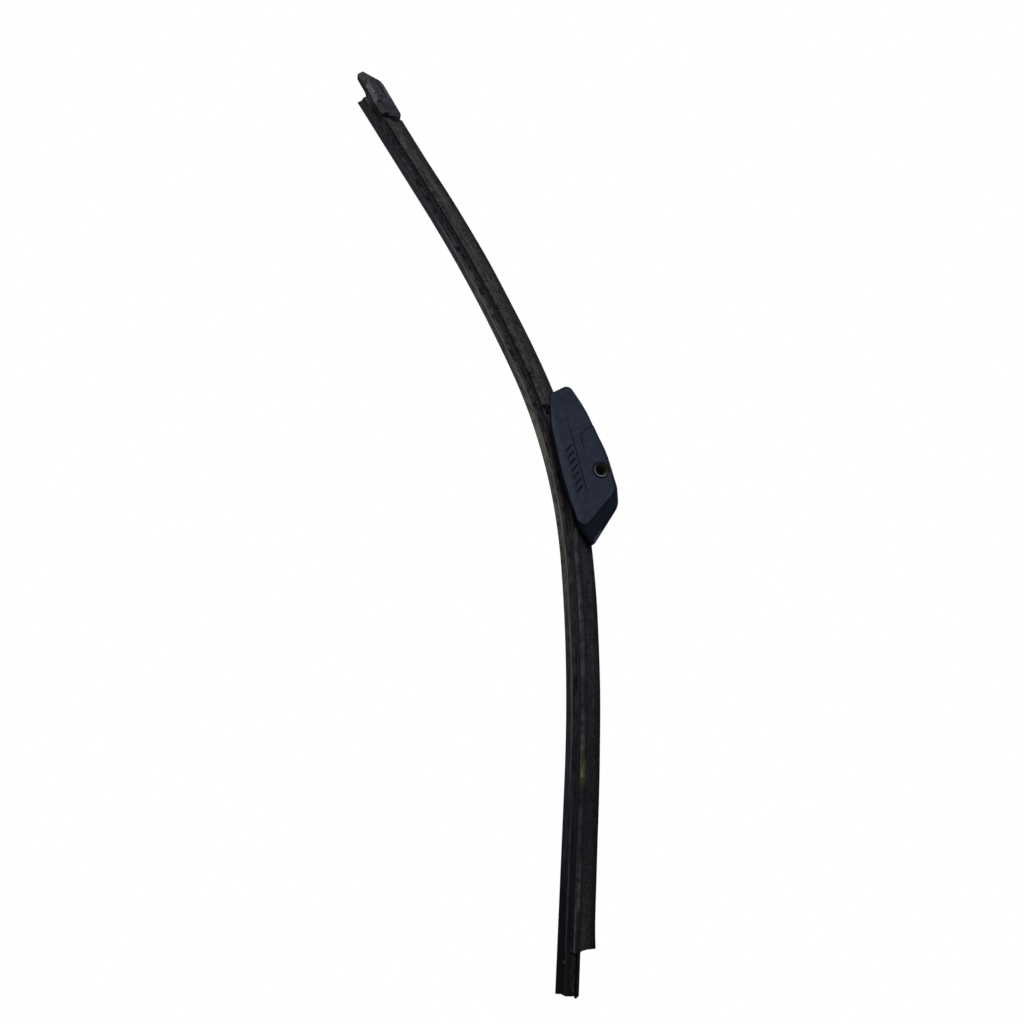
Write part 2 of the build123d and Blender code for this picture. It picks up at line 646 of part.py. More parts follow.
# Cap on one end
def end_cap():
    s = -CAPPED_REACH
    outward = section_plane(s).z_dir * -1
    side = Plane(origin=at(s), x_dir=outward, z_dir=(0, 1, 0))
    above = Plane(origin=at(s), x_dir=outward, z_dir=up(s))
    body = extrude(side * cap_profile(), amount=CAP_WIDTH, both=True)
    body = body & extrude(above * cap_plan(), amount=FAR, both=True)
    body = body & along(cap_section(), s - CAP_NOSE, s + CAP_COVER)
    head = strip(0, HEAD_WIDTH / 2 + COVER_GAP, -FAR, HEAD_TOP + COVER_GAP)
    rails = strip(0, RAIL_OUTER + COVER_GAP, -RAIL_HALF - COVER_GAP, RAIL_HALF + COVER_GAP)
    body -= along(symmetric(head), s - COVER_GAP, s + CAP_COVER)
    body -= along(symmetric(rails), s + RAIL_SHORTFALL - COVER_GAP, s + CAP_COVER)
    window_end = -CAP_COVER + CAP_NOTCH + CAP_WINDOW_MARGIN
    window = Pos(window_end + CAP_WINDOW / 2, 0) * Rectangle(CAP_WINDOW, CAP_WINDOW_HEIGHT)
    slot = Pos(CAP_SLOT_SHIFT, CAP_SLOT_HEIGHT) * SlotOverall(CAP_SLOT_LENGTH, CAP_SLOT_WIDTH)
    for outline, depth in ((window, CAP_WINDOW_DEPTH), (slot, CAP_SLOT_DEPTH)):
        floor = cap_half_width(outline.center().Y) - depth
        for sign in (1, -1):
            body -= extrude(side.offset(sign * floor) * outline, amount=sign * CAP_WIDTH)
    return body


def cap_profile():
    """Side outline of the cap, from its rear step round to the notch."""
    step = -CAP_COVER + CAP_NOTCH
    top = FIN_HEIGHT + CAP_RISE
    return rounded(
        [
            (-CAP_COVER, CAP_SHELF, CAP_NOSE_EDGE),
            (-CAP_COVER + CAP_REAR_LEAN, top - CAP_REAR_DROP, CAP_REAR_RADIUS),
            (CAP_BROW, top, CAP_BROW_RADIUS),
            (CAP_NOSE, CAP_NOSE_HEIGHT, CAP_NOSE_EDGE),
            (CAP_NOSE - CAP_NOSE_EDGE, 0, CAP_NOSE_EDGE),
            (CAP_NECK, 0, CAP_BROW_RADIUS),
            (-CAP_BELLY, -CAP_DEPTH, CAP_BROW_RADIUS),
            (step, -CAP_DEPTH, CAP_NOSE_EDGE),
            (step, CAP_SHELF, CAP_NOSE_EDGE),
        ]
    )


def cap_plan():
    """The cap seen from above: full width over the rails, narrow at the nose."""
    cheek = HEAD_WIDTH / 2 + COVER_GAP + CAP_CHEEK
    half = polygon(
        (-CAP_COVER, 0),
        (-CAP_COVER, CAP_WIDTH / 2),
        (-CAP_TAPER, CAP_WIDTH / 2),
        (COVER_GAP, cheek),
        (CAP_NECK, CAP_NECK_WIDTH / 2),
        (CAP_NOSE, CAP_NOSE_WIDTH / 2),
        (CAP_NOSE, 0),
    )
    return half + mirror(half, about=Plane.XZ)


def cap_half_width(height):
    """Half width of the cap's section at a height above the rails' middle."""
    top = FIN_HEIGHT + CAP_RISE
    share = min((top - height) / (top - CAP_SHELF), 1)
    return CAP_TOP_WIDTH / 2 + share * (CAP_WIDTH - CAP_TOP_WIDTH) / 2


def cap_section():
    top = FIN_HEIGHT + CAP_RISE
    return symmetric(
        polygon(
            (0, top),
            (cap_half_width(top), top),
            (CAP_WIDTH / 2, CAP_SHELF),
            (CAP_WIDTH / 2, -CAP_DEPTH),
            (0, -CAP_DEPTH),
        )
    )


nodes = {
    "wiping_rubber": wiping_rubber(),
    "rail_near": rail_with_tongue(),
    "rail_far": rail(1),
    "spoiler_upper": spoiler(-CAPPED_REACH + CAP_COVER + COVER_GAP, UPPER_SPOILER_END),
    "spoiler_lower": slanted_spoiler(LOWER_SPOILER_START, BARE_END - SPOILER_SHORTFALL),
    "pivot_sleeve": pivot_sleeve(),
    "bracket": bracket(),
    "connector_housing": connector_housing(),
    "hook_adapter": hook_adapter(),
    "end_cap": end_cap(),
}
os.makedirs("parts", exist_ok=True)
for name, solid in nodes.items():
    export_step(solid, f"parts/{name}.step")
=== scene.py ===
import math

import bmesh
import bpy
from bpy.props import FloatProperty, FloatVectorProperty, IntProperty, PointerProperty
from mathutils import Matrix, Vector


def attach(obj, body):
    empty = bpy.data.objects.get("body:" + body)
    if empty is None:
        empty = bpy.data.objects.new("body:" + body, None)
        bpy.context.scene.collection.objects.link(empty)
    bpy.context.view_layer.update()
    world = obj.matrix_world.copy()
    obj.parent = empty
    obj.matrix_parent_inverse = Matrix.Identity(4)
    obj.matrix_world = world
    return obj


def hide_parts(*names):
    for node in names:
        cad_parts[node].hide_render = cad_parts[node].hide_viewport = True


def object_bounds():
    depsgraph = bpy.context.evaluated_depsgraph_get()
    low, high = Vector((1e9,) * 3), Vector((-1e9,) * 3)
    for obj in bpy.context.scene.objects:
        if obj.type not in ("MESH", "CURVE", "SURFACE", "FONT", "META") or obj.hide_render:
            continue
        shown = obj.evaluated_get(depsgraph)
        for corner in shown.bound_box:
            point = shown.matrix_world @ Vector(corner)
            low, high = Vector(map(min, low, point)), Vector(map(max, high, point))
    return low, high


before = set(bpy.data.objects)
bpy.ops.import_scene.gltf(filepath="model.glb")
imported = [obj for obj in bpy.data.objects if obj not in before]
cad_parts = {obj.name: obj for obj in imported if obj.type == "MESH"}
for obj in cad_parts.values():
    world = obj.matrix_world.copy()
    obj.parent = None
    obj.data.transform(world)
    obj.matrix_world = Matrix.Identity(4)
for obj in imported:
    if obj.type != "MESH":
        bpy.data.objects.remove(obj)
CAD_BOX = [list(corner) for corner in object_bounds()]

bl_info = {
    "name": "Beam Wiper Blade",
    "version": (1, 0, 0),
    "blender": (4, 5, 0),
    "location": "View3D > Sidebar > Wiper",
    "description": "Dresses a beam wiper blade: rubber strips, moulded connector, rivet, rails and cap",
    "category": "Object",
}

MM = 0.001

# Meshing: points closer than these are one, and angles for joining and for smooth shading
MERGE_DISTANCE = 1e-6
CAD_MERGE_DISTANCE = 2e-6
FLAT_ANGLE = math.radians(0.5)
SMOOTH_ANGLE = math.radians(35)

# Lean of the soft fin as waves of (share, radians for each metre, phase)
SWAY_WAVES = ((1.0, 61.0, 0.0), (0.6, 143.0, 1.3))

# Capped end: direction in X and Z, and the cap's middle along it and above the pivot
CAP_DIRECTION = (-0.952, -0.306)
CAP_MIDDLE_OUT = 231.5 * MM
CAP_MIDDLE_HIGH = 6.0 * MM

WHITE = (1.0, 1.0, 1.0, 1.0)
SENSOR_WIDTH = 36.0
CLIP_START = 0.01


# Property helpers
def length(label, about, default):
    return FloatProperty(name=label, description=about, default=default, unit="LENGTH", precision=5)


def share(label, about, default):
    return FloatProperty(name=label, description=about, default=default, min=0, max=1, subtype="FACTOR")


def tint(label, about, default):
    return FloatVectorProperty(
        name=label, description=about, default=default, size=3, min=0, max=1, subtype="COLOR"
    )


def spot(label, about, default):
    return FloatVectorProperty(
        name=label, description=about, default=default, size=3, subtype="TRANSLATION", unit="LENGTH"
    )


def direction(label, about, default):
    return FloatVectorProperty(name=label, description=about, default=default, size=3, subtype="XYZ")


class WiperCurve(bpy.types.PropertyGroup):
    """Side-view curve of the rails that every strip follows."""

    middle_radius: length("Middle radius", "Radius of the tight middle arc", 0.279)
    middle_half: length("Middle half length", "Half of the middle arc, along the curve", 0.050)
    flank_radius: length("Flank radius", "Radius of the wider arcs beside it", 0.759)
    flank_length: length("Flank length", "Length of each wider arc", 0.100)
    top_x: length("Top X", "Where the curve is highest", -0.0117)
    top_z: length("Top Z", "Height of that point, from the pivot", -0.01584)
    station: length("Station", "Distance between the cross sections of a strip", 0.0025)


class WiperRubber(bpy.types.PropertyGroup):
    """Cross section and reach of the wiping rubber, with heights from the rails' middle."""

    start: length("Capped end", "Start along the curve", -0.2171)
    end: length("Bare end", "End along the curve", 0.2329)
    head_half: length("Head half width", "Half width of the head and its flange", 0.0036)
    head_top: length("Head top", "Top of the head", 0.0014)
    slot: length("Slot half height", "Half height of the rail slots", 0.0005)
    slot_floor: length("Slot floor", "Half width of the web between the slots", 0.00145)
    flange_low: length("Flange", "Underside of the flange", -0.0014)
    neck_half: length("Neck half width", "Half width of the neck", 0.0006)
    neck_low: length("Neck foot", "Where the neck meets the shoulders", -0.0028)
    shoulder_half: length("Shoulder half width", "Half width of the shoulders", 0.0024)
    shoulder_low: length("Shoulder foot", "Where the wedge starts", -0.0043)
    lip_root_half: length("Lip root half", "Half thickness of the lip at its root", 0.00055)
    lip_root: length("Lip root", "Where the wedge ends and the lip starts", -0.0055)
    lip_half: length("Lip tip half", "Half thickness of the lip at its tip", 0.000325)
    lip_tip: length("Lip tip", "Wiping edge", -0.00765)
    corner: length("Corner", "Rounding of the extruded corners", 0.00016)
    block: length("End block", "Stretch at the bare end with filled neck slots", 0.0156)
    block_half: length("End block half", "Half width of that stretch", 0.00355)


class WiperSpoiler(bpy.types.PropertyGroup):
    """Cross section and reach of the two spoiler lengths, with heights from the rails' middle."""

    upper_start: length("Upper start", "Where the upper length starts, inside the cap", -0.1990)
    upper_end: length("Upper end", "Where the upper length ends, inside the connector", -0.0265)
    lower_start: length("Lower start", "Where the lower length starts, inside the connector", 0.0363)
    lower_end: length("Lower end", "Where the lower length's fin ends", 0.2160)
    slant: length("End slant", "How far the claws run on past the lower fin's end", 0.0005)
    claw_half: length("Claw half width", "Half width over the claws", 0.0059)
    claw_low: length("Claw foot", "Underside of the claws", -0.0023)
    claw_top: length("Band top", "Top of the proud band along the claws", -0.0003)
    claw_step: length("Band step", "How far the band stands out", 0.0005)
    seat: length("Rail seat", "Half height of the room for a rail, where the flank starts too", 0.0005)
    claw_bore: length("Claw bore", "Half width inside the claws", 0.00505)
    claw_grip: length("Claw grip", "How far a foot reaches in under its rail", 0.0008)
    head_bore: length("Head bore", "Half width of the room for the rubber's head", 0.00365)
    head_roof: length("Head roof", "Height of that room", 0.00145)
    hollow_half: length("Hollow half width", "Half width where the flank's two slopes meet", 0.00172)
    hollow: length("Hollow height", "Height where they meet", 0.0030)
    hollow_round: length("Hollow rounding", "Reach of the rounding there", 0.0024)
    tip_half: length("Fin tip half", "Half thickness of the fin near its top", 0.00075)
    fin_top: length("Fin top", "Top of the fin", 0.0083)
    flare: length("End flare", "How far the lower fin's end lifts", 0.0007)
    flare_reach: length("Flare reach", "Length over which it lifts", 0.016)
    sway: length("Sway", "How far the soft fin leans from side to side", 0.00022)
    corner: length("Corner", "Rounding of the extruded corners", 0.00018)


class WiperRivet(bpy.types.PropertyGroup):
    """Hollow rivet across the connector."""

    bore: length("Bore radius", "Inside radius", 0.002425)
    wall: length("Wall", "Thickness of the tube", 0.0004)
    half: length("Half length", "From the middle to the top of the flare", 0.00965)
    flare: length("Flare", "How far the flare stands out from the tube", 0.0008)
    flare_height: length("Flare height", "Height of the flare", 0.0008)
    rim: length("Rim", "Width of the rim round the funnel", 0.0003)
    funnel: length("Funnel", "Depth of the funnel inside the flare", 0.0007)
    roll: length("Roll", "Rounding of the rolled edge", 0.00016)
    sides: IntProperty(name="Sides", description="Facets round the rivet", default=72, min=12)


class WiperMoulding(bpy.types.PropertyGroup):
    """Softened edges of the moulded pieces."""

    housing_edge: length("Housing edge", "Edge rounding of the connector", 0.00022)
    cap_edge: length("Cap edge", "Edge rounding of the end cap", 0.00025)
    crease: FloatProperty(
        name="Crease", description="Edges sharper than this are rounded",
        default=math.radians(24), subtype="ANGLE",
    )


class WiperColours(bpy.types.PropertyGroup):
    """Colours of the materials, as they lie under plain light."""

    rubber: tint("Rubber", "Clean rubber", (0.0054, 0.0051, 0.0075))
    lip_dust: tint("Lip dust", "Dried film on the lip", (0.112, 0.107, 0.083))
    lip_haze: tint("Lip haze", "Bluish parts of that film", (0.100, 0.096, 0.114))
    # Painted light: pale colour that brightens the shaded slots beside the neck and under the claws' feet,
    # in place of light that does not reach them
    gap: tint("Gap", "Dust in the slots beside the neck", (0.260, 0.250, 0.270))
    ridge: tint("Ridge", "Pale line at the lip's root", (0.138, 0.140, 0.158))
    warm_ridge: tint("Warm ridge", "The same line by the connector", (0.152, 0.147, 0.108))
    spoiler: tint("Spoiler", "Clean spoiler", (0.0052, 0.0048, 0.0070))
    spoiler_dust: tint("Spoiler dust", "Grey film on the spoiler", (0.097, 0.099, 0.108))
    moss: tint("Moss", "Faint green in the spoiler's film", (0.092, 0.101, 0.084))
    mauve: tint("Mauve", "Faint violet in the spoiler's film", (0.106, 0.097, 0.124))
    silt: tint("Silt", "Brown film at the fin's bare end", (0.107, 0.100, 0.092))
    dirt: tint("Dirt", "Dried yellow-green dirt", (0.110, 0.112, 0.050))
    crust: tint("Crust", "Pale crust in that dirt", (0.300, 0.290, 0.150))
    stain: tint("Stain", "Brown stain under the caps", (0.0080, 0.0064, 0.0066))
    housing: tint("Housing", "Navy-grey plastic", (0.0076, 0.0102, 0.0158))
    # Paler colour of the flat faces: worn film, and painted light against the bevel's painted shade
    housing_film_and_face_light: tint("Housing film", "Worn film on the flat faces", (0.0212, 0.0268, 0.0440))
    # Also the colour of the painted highlights along the connector's bow edge and nose
    housing_dust_and_highlight: tint("Housing dust", "Pale film on the plastic", (0.060, 0.064, 0.080))
    cap: tint("Cap", "Weathered cap plastic", (0.0120, 0.0112, 0.0168))
    # Also the colour of the painted highlight along the cap's top rib and the painted light on its rear
    # end face
    cap_bloom_and_painted_light: tint("Cap bloom", "Chalky worn plastic", (0.110, 0.107, 0.122))
    cap_tip: tint("Cap tip", "Beige film at the cap's tip and window", (0.036, 0.036, 0.030))
    rail: tint("Rail", "Dark spring steel", (0.0036, 0.0034, 0.0034))
    rust: tint("Rust", "Thin rust on the rails", (0.0190, 0.0110, 0.0085))
    steel: tint("Rivet steel", "Worn steel", (0.104, 0.105, 0.114))
    tarnish: tint("Tarnish", "Dull dark steel", (0.0340, 0.0330, 0.0290))
    bracket: tint("Bracket", "Black paint", (0.012, 0.012, 0.013))
    adapter: tint("Adapter", "Adapter plastic", (0.018, 0.019, 0.023))
    floor: tint("Floor", "Pale floor", (0.80, 0.80, 0.80))


class WiperStage(bpy.types.PropertyGroup):
    """Floor, lamps, sky and camera."""

    floor_drop: length("Floor drop", "Floor under the lowest point", 0.002)
    floor_size: length("Floor size", "Half width of the floor", 3.0)
    key_power: FloatProperty(name="Key power", description="Soft key lamp", default=9.0, unit="POWER")
    key_size: length("Key size", "Width of the key lamp", 0.7)
    key_place: spot("Key place", "Where the key lamp hangs", (-0.80, -0.90, 0.22))
    fill_power: FloatProperty(name="Fill power", description="Soft fill lamps", default=1.8, unit="POWER")
    fill_size: length("Fill size", "Width of the fill lamps", 0.9)
    fill_place: spot("Fill place", "Where the near fill lamp hangs", (-0.10, -0.95, 0.10))
    back_place: spot("Back place", "Where the far fill lamp hangs", (0.1, 0.9, 0.7))
    lamp_target: spot("Lamp target", "What the lamps point at", (0.0, 0.0, -0.03))
    sky: share("Sky", "Light from the white surroundings", 0.12)
    lens: FloatProperty(name="Lens", description="Focal length", default=28.125, subtype="DISTANCE_CAMERA")
    view_place: spot("View place", "Where the camera stands", (0.08733, -0.35560, -0.14366))
    view_right: direction("View right", "The camera's right", (0.2380, -0.2105, 0.9482))
    view_down: direction("View down", "The camera's downward direction", (0.9494, 0.2565, -0.1814))
    view_ahead: direction("View ahead", "The camera's forward direction", (-0.2050, 0.9433, 0.2610))


GROUPS = {
    "wiper_curve": WiperCurve,
    "wiper_rubber": WiperRubber,
    "wiper_spoiler": WiperSpoiler,
    "wiper_rivet": WiperRivet,
    "wiper_moulding": WiperMoulding,
    "wiper_colours": WiperColours,
    "wiper_stage": WiperStage,
}


# Shader sums
class Sum:
    """Output of a shader node that can stand in a Python expression."""

    def __init__(self, nodes, socket):
        self.nodes = nodes
        self.socket = socket

    def math(self, operation, first, second):
        return self.nodes.node("ShaderNodeMath", {"operation": operation}, {0: first, 1: second})

    def __add__(self, other):
        return self.math("ADD", self, other)

    __radd__ = __add__

    def __sub__(self, other):
        return self.math("SUBTRACT", self, other)

    def __rsub__(self, other):
        return self.math("SUBTRACT", other, self)

    def __mul__(self, other):
        return self.math("MULTIPLY", self, other)

    __rmul__ = __mul__

    def __truediv__(self, other):
        return self.math("DIVIDE", self, other)

    def __pow__(self, other):
        return self.math("POWER", self, other)

    def __abs__(self):
        return self.math("ABSOLUTE", self, 0)

    def smaller(self, other):
        return self.math("MINIMUM", self, other)

    def larger(self, other):
        return self.math("MAXIMUM", self, other)

    def towards(self, other, factor):
        """This where the factor is 0 and the other where it is 1."""
        return self + factor * (other - self)


class Nodes:
    """A node tree that is being filled."""

    def __init__(self, tree):
        self.tree = tree

    def node(self, kind, settings=None, values=None, output=0):
        """New node: settings first, then the values or links of its sockets."""
        made = self.tree.nodes.new(kind)
        for name, value in (settings or {}).items():
            if name == "stops":
                self.set_stops(made.color_ramp, value)
            else:
                setattr(made, name, value)
        for key, value in (values or {}).items():
            self.feed(made.inputs[key], value)
        return Sum(self, made.outputs[output])

    def feed(self, socket, value):
        if isinstance(value, Sum):
            self.tree.links.new(value.socket, socket)
        else:
            socket.default_value = value

    @staticmethod
    def set_stops(ramp, stops):
        ramp.interpolation = "EASE"
        while len(ramp.elements) < len(stops):
            ramp.elements.new(1.0)
        for element, (place, level) in zip(ramp.elements, stops):
            element.position = place
            element.color = (level, level, level, 1.0)


class Finish(Nodes):
    """A material that is being put together from nodes."""

    def __init__(self, name):
        self.material = bpy.data.materials.new(name)
        self.material.use_nodes = True
        super().__init__(self.material.node_tree)
        self.shader = self.tree.nodes["Principled BSDF"]

    def point(self):
        return self.node("ShaderNodeTexCoord", output="Object")

    def place(self):
        """The three Object coordinates."""
        point = self.point()
        return [self.node("ShaderNodeSeparateXYZ", None, {0: point}, axis) for axis in range(3)]

    def along(self, name):
        """A measure that the strip's own mesh carries."""
        return self.node("ShaderNodeAttribute", {"attribute_name": name}, output="Fac")

    def vector(self, x, y, z):
        return self.node("ShaderNodeCombineXYZ", None, {0: x, 1: y, 2: z})

    def noise(self, scale, detail=3.0, roughness=0.55, vector=None):
        """Noise at the Object coordinates, or at a vector made for it."""
        if vector is None:
            vector = self.point()
        values = {"Vector": vector, "Scale": scale, "Detail": detail, "Roughness": roughness}
        return self.node("ShaderNodeTexNoise", None, values)

    def rise(self, value, low, high):
        """Smooth step from 0 at low to 1 at high; falls where low is the larger."""
        settings = {"interpolation_type": "SMOOTHSTEP"}
        return self.node("ShaderNodeMapRange", settings, {0: value, 1: low, 2: high, 3: 0.0, 4: 1.0})

    def band(self, value, low, high, soft):
        """1 between low and high, falling to 0 over the soft margin outside them."""
        return self.rise(value, low - soft, low) * self.rise(value, high + soft, high)

    def ramp(self, value, stops):
        return self.node("ShaderNodeValToRGB", {"stops": stops}, {0: value})

    def mix(self, factor, first, second):
        """Colour that goes from the first to the second."""
        settings = {"data_type": "RGBA", "clamp_factor": True}
        values = {0: factor, 6: self.colour(first), 7: self.colour(second)}
        return self.node("ShaderNodeMix", settings, values, 2)

    @staticmethod
    def colour(value):
        return value if isinstance(value, Sum) else (*value, 1.0)

    def bump(self, height, distance, strength):
        values = {"Height": height, "Distance": distance, "Strength": strength}
        return self.node("ShaderNodeBump", None, values)

    def done(self, **sockets):
        """Feeds the shader and gives back the material."""
        for name, value in sockets.items():
            self.feed(self.shader.inputs[name.replace("_", " ")], value)
        return self.material


# Places along the rail curve
def bend(run, rise):
    """X and Z of a point of a straight strip once the strip follows the rails."""
    curve = bpy.context.scene.wiper_curve
    side = math.copysign(1.0, run)
    middle = min(abs(run), curve.middle_half) / curve.middle_radius
    flank = min(max(abs(run) - curve.middle_half, 0.0), curve.flank_length)
    end = middle + flank / curve.flank_radius
    rest = max(abs(run) - curve.middle_half - curve.flank_length, 0.0)
    x = curve.middle_radius * math.sin(middle)
    x += curve.flank_radius * (math.sin(end) - math.sin(middle)) + rest * math.cos(end)
    drop = curve.middle_radius * (1 - math.cos(middle))
    drop += curve.flank_radius * (math.cos(middle) - math.cos(end)) + rest * math.sin(end)
    return (
        curve.top_x + side * (x + rise * math.sin(end)),
        curve.top_z - drop + rise * math.cos(end),
    )


# Mesh helpers
def rounded_wire(bm, corners, place):
    """Open outline through corners of (across, rise, rounding, segments)."""
    verts = [bm.verts.new(place(across, rise)) for across, rise, _, _ in corners]
    for pair in zip(verts, verts[1:]):
        bm.edges.new(pair)
    for vert, (_, _, rounding, segments) in zip(verts, corners):
        if rounding:
            bmesh.ops.bevel(
                bm, geom=[vert], offset=rounding, offset_type="OFFSET", affect="VERTICES",
                segments=segments, profile=0.5, material=-1, clamp_overlap=True,
            )


def mirrored(bm, axis):
    """Adds the mirror image, joins it on the middle plane and closes what is open."""
    everything = bm.verts[:] + bm.edges[:] + bm.faces[:]
    bmesh.ops.mirror(bm, geom=everything, axis=axis, merge_dist=MERGE_DISTANCE)
    bmesh.ops.remove_doubles(bm, verts=bm.verts[:], dist=MERGE_DISTANCE)
    bmesh.ops.holes_fill(bm, edges=[edge for edge in bm.edges if edge.is_boundary], sides=0)
    bmesh.ops.recalc_face_normals(bm, faces=bm.faces[:])


def straight_strip(corners, start, end, slant=None):
    """Half outline drawn out along the blade and mirrored across it; not bent yet."""
    bm = bmesh.new()
    rounded_wire(bm, corners, lambda across, rise: (start, across, rise))
    drawn = bmesh.ops.extrude_edge_only(bm, edges=bm.edges[:])
    for vert in drawn["geom"]:
        if isinstance(vert, bmesh.types.BMVert):
            vert.co.x = end + (slant(vert.co.z) if slant else 0.0)
    long_edges = [edge for edge in bm.edges if edge.calc_length() > (end - start) / 2]
    cuts = round((end - start) / bpy.context.scene.wiper_curve.station)
    bmesh.ops.subdivide_edges(bm, edges=long_edges, cuts=cuts, use_grid_fill=True)
    mirrored(bm, "Y")
    return bm


def bent_to_rails(bm, lift=None):
    """Keeps each point's run and rise for the material, then bends the strip to the rails."""
    run_layer = bm.verts.layers.float.new("run")
    rise_layer = bm.verts.layers.float.new("rise")
    for vert in bm.verts:
        run, across, rise = vert.co
        vert[run_layer] = run
        vert[rise_layer] = rise
        if lift:
            across, rise = lift(run, across, rise)
        x, z = bend(run, rise)
        vert.co = (x, across, z)
    return bm


def piece(name, bm, material, body, slot, *nodes):
    """Puts a finished mesh into the scene as a piece that stands for its CAD nodes."""
    mesh = bpy.data.meshes.new(name)
    bm.to_mesh(mesh)
    bm.free()
    mesh.materials.append(material)
    mesh.shade_smooth()
    mesh.set_sharp_from_angle(angle=SMOOTH_ANGLE)
    made = bpy.data.objects.new(name, mesh)
    bpy.context.scene.collection.objects.link(made)
    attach(made, body)
    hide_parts(*nodes)
    if any(edge.is_loose for edge in mesh.edges):
        raise RuntimeError(f"{name} has loose edges")
    return made


def softened_copy(node, edge_round):
    """Merged copy of a CAD node with its sharp edges rounded."""
    crease = bpy.context.scene.wiper_moulding.crease
    bm = bmesh.new()
    bm.from_mesh(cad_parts[node].data)
    bmesh.ops.remove_doubles(bm, verts=bm.verts[:], dist=CAD_MERGE_DISTANCE)
    bmesh.ops.dissolve_limit(
        bm, angle_limit=FLAT_ANGLE, verts=bm.verts[:], edges=bm.edges[:],
        use_dissolve_boundaries=False, delimit=set(),
    )
    sharp = [
        edge for edge in bm.edges
        if len(edge.link_faces) == 2 and edge.calc_face_angle() > crease
    ]
    bmesh.ops.bevel(
        bm, geom=sharp, offset=edge_round, offset_type="OFFSET", affect="EDGES",
        segments=2, profile=0.5, material=-1, clamp_overlap=True,
    )
    bmesh.ops.remove_doubles(bm, verts=bm.verts[:], dist=MERGE_DISTANCE)
    return bm


def flat_faces(made):
    """Keeps wide faces flat to the eye and leaves the turning to the rounded edges."""
    weigh = made.modifiers.new("flat_faces", "WEIGHTED_NORMAL")
    weigh.keep_sharp = True
    weigh.weight = 100


def dress(node, material):
    """Gives a CAD node that stays its procedural material."""
    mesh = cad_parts[node].data
    mesh.materials.clear()
    mesh.materials.append(material)


# Rubber finishes
def run_share(finish):
    """0 at the capped end of the rubber and 1 at its bare end."""
    size = bpy.context.scene.wiper_rubber
    return (finish.along("run") - size.start) / (size.end - size.start)


def streaks(finish, coarse, fine):
    """Lines along the strip, from 0 to 1."""
    run = finish.along("run")
    rise = finish.along("rise")
    across = finish.place()[1]
    lines = finish.noise(1.0, 4.0, 0.6, finish.vector(run * coarse, across * fine, rise * fine))
    return finish.rise(lines, 0.34, 0.66)


def lip_dust_and_gap_light(finish, rise, where, deep):
    """Strength of the dust on the lip, the wedge and the shoulders, and of the painted light in the shaded
    slots beside the neck.
    """
    lip = finish.ramp(where, [
        (0.0, 0.20), (0.20, 0.24), (0.29, 0.38), (0.36, 0.34), (0.45, 0.78), (0.60, 0.46),
        (0.655, 0.32), (0.70, 0.16), (0.88, 0.10), (0.92, 0.01),
    ])
    wedge = finish.ramp(where, [
        (0.0, 0.33), (0.17, 0.27), (0.28, 0.65), (0.42, 0.42), (0.75, 0.17), (0.88, 0.11),
        (0.96, 0.03),
    ])
    shoulder = finish.ramp(where, [
        (0.0, 0.36), (0.36, 0.27), (0.45, 0.17), (0.75, 0.11), (0.93, 0.03),
    ])
    # Neck: strength of the painted light in its slots
    neck = finish.ramp(where, [
        (0.0, 0.40), (0.45, 0.40), (0.60, 0.34), (0.72, 0.26), (0.85, 0.15), (0.95, 0.10),
    ])
    film = lip.towards(wedge, finish.rise(rise, -5.50 * MM, -5.30 * MM))
    film = film.towards(shoulder, finish.rise(rise, -4.40 * MM, -4.20 * MM))
    film = film.towards(neck, deep)
    # More painted light in the slots towards the capped end, less on the flange's underside
    by_flange = 1.30 - 1.05 * finish.rise(rise, -2.10 * MM, -1.40 * MM)
    return film * (1.0 + finish.rise(where, 0.50, 0.42) * deep * by_flange)


def lip_line(finish, run, rise, where, lines):
    """Pale line at the lip's root, higher up towards the bare end, and one pale speck there."""
    strength = finish.ramp(where, [
        (0.0, 0.16), (0.14, 0.20), (0.24, 0.60), (0.58, 0.72), (0.68, 0.44), (0.84, 0.18),
        (0.93, 0.28), (1.0, 0.14),
    ])
    late = finish.rise(run, 140.0 * MM, 165.0 * MM)
    low_line = finish.band(rise, -5.60 * MM, -5.15 * MM, 0.14 * MM) * (1.0 - late)
    high_line = finish.band(rise, -4.72 * MM, -4.52 * MM, 0.14 * MM) * late
    speck = finish.band(run, 220.6 * MM, 221.2 * MM, 0.4 * MM)
    speck = speck * finish.band(rise, -5.15 * MM, -4.90 * MM, 0.20 * MM)
    return (low_line + high_line) * strength * (0.55 + 0.9 * lines) + 0.4 * speck


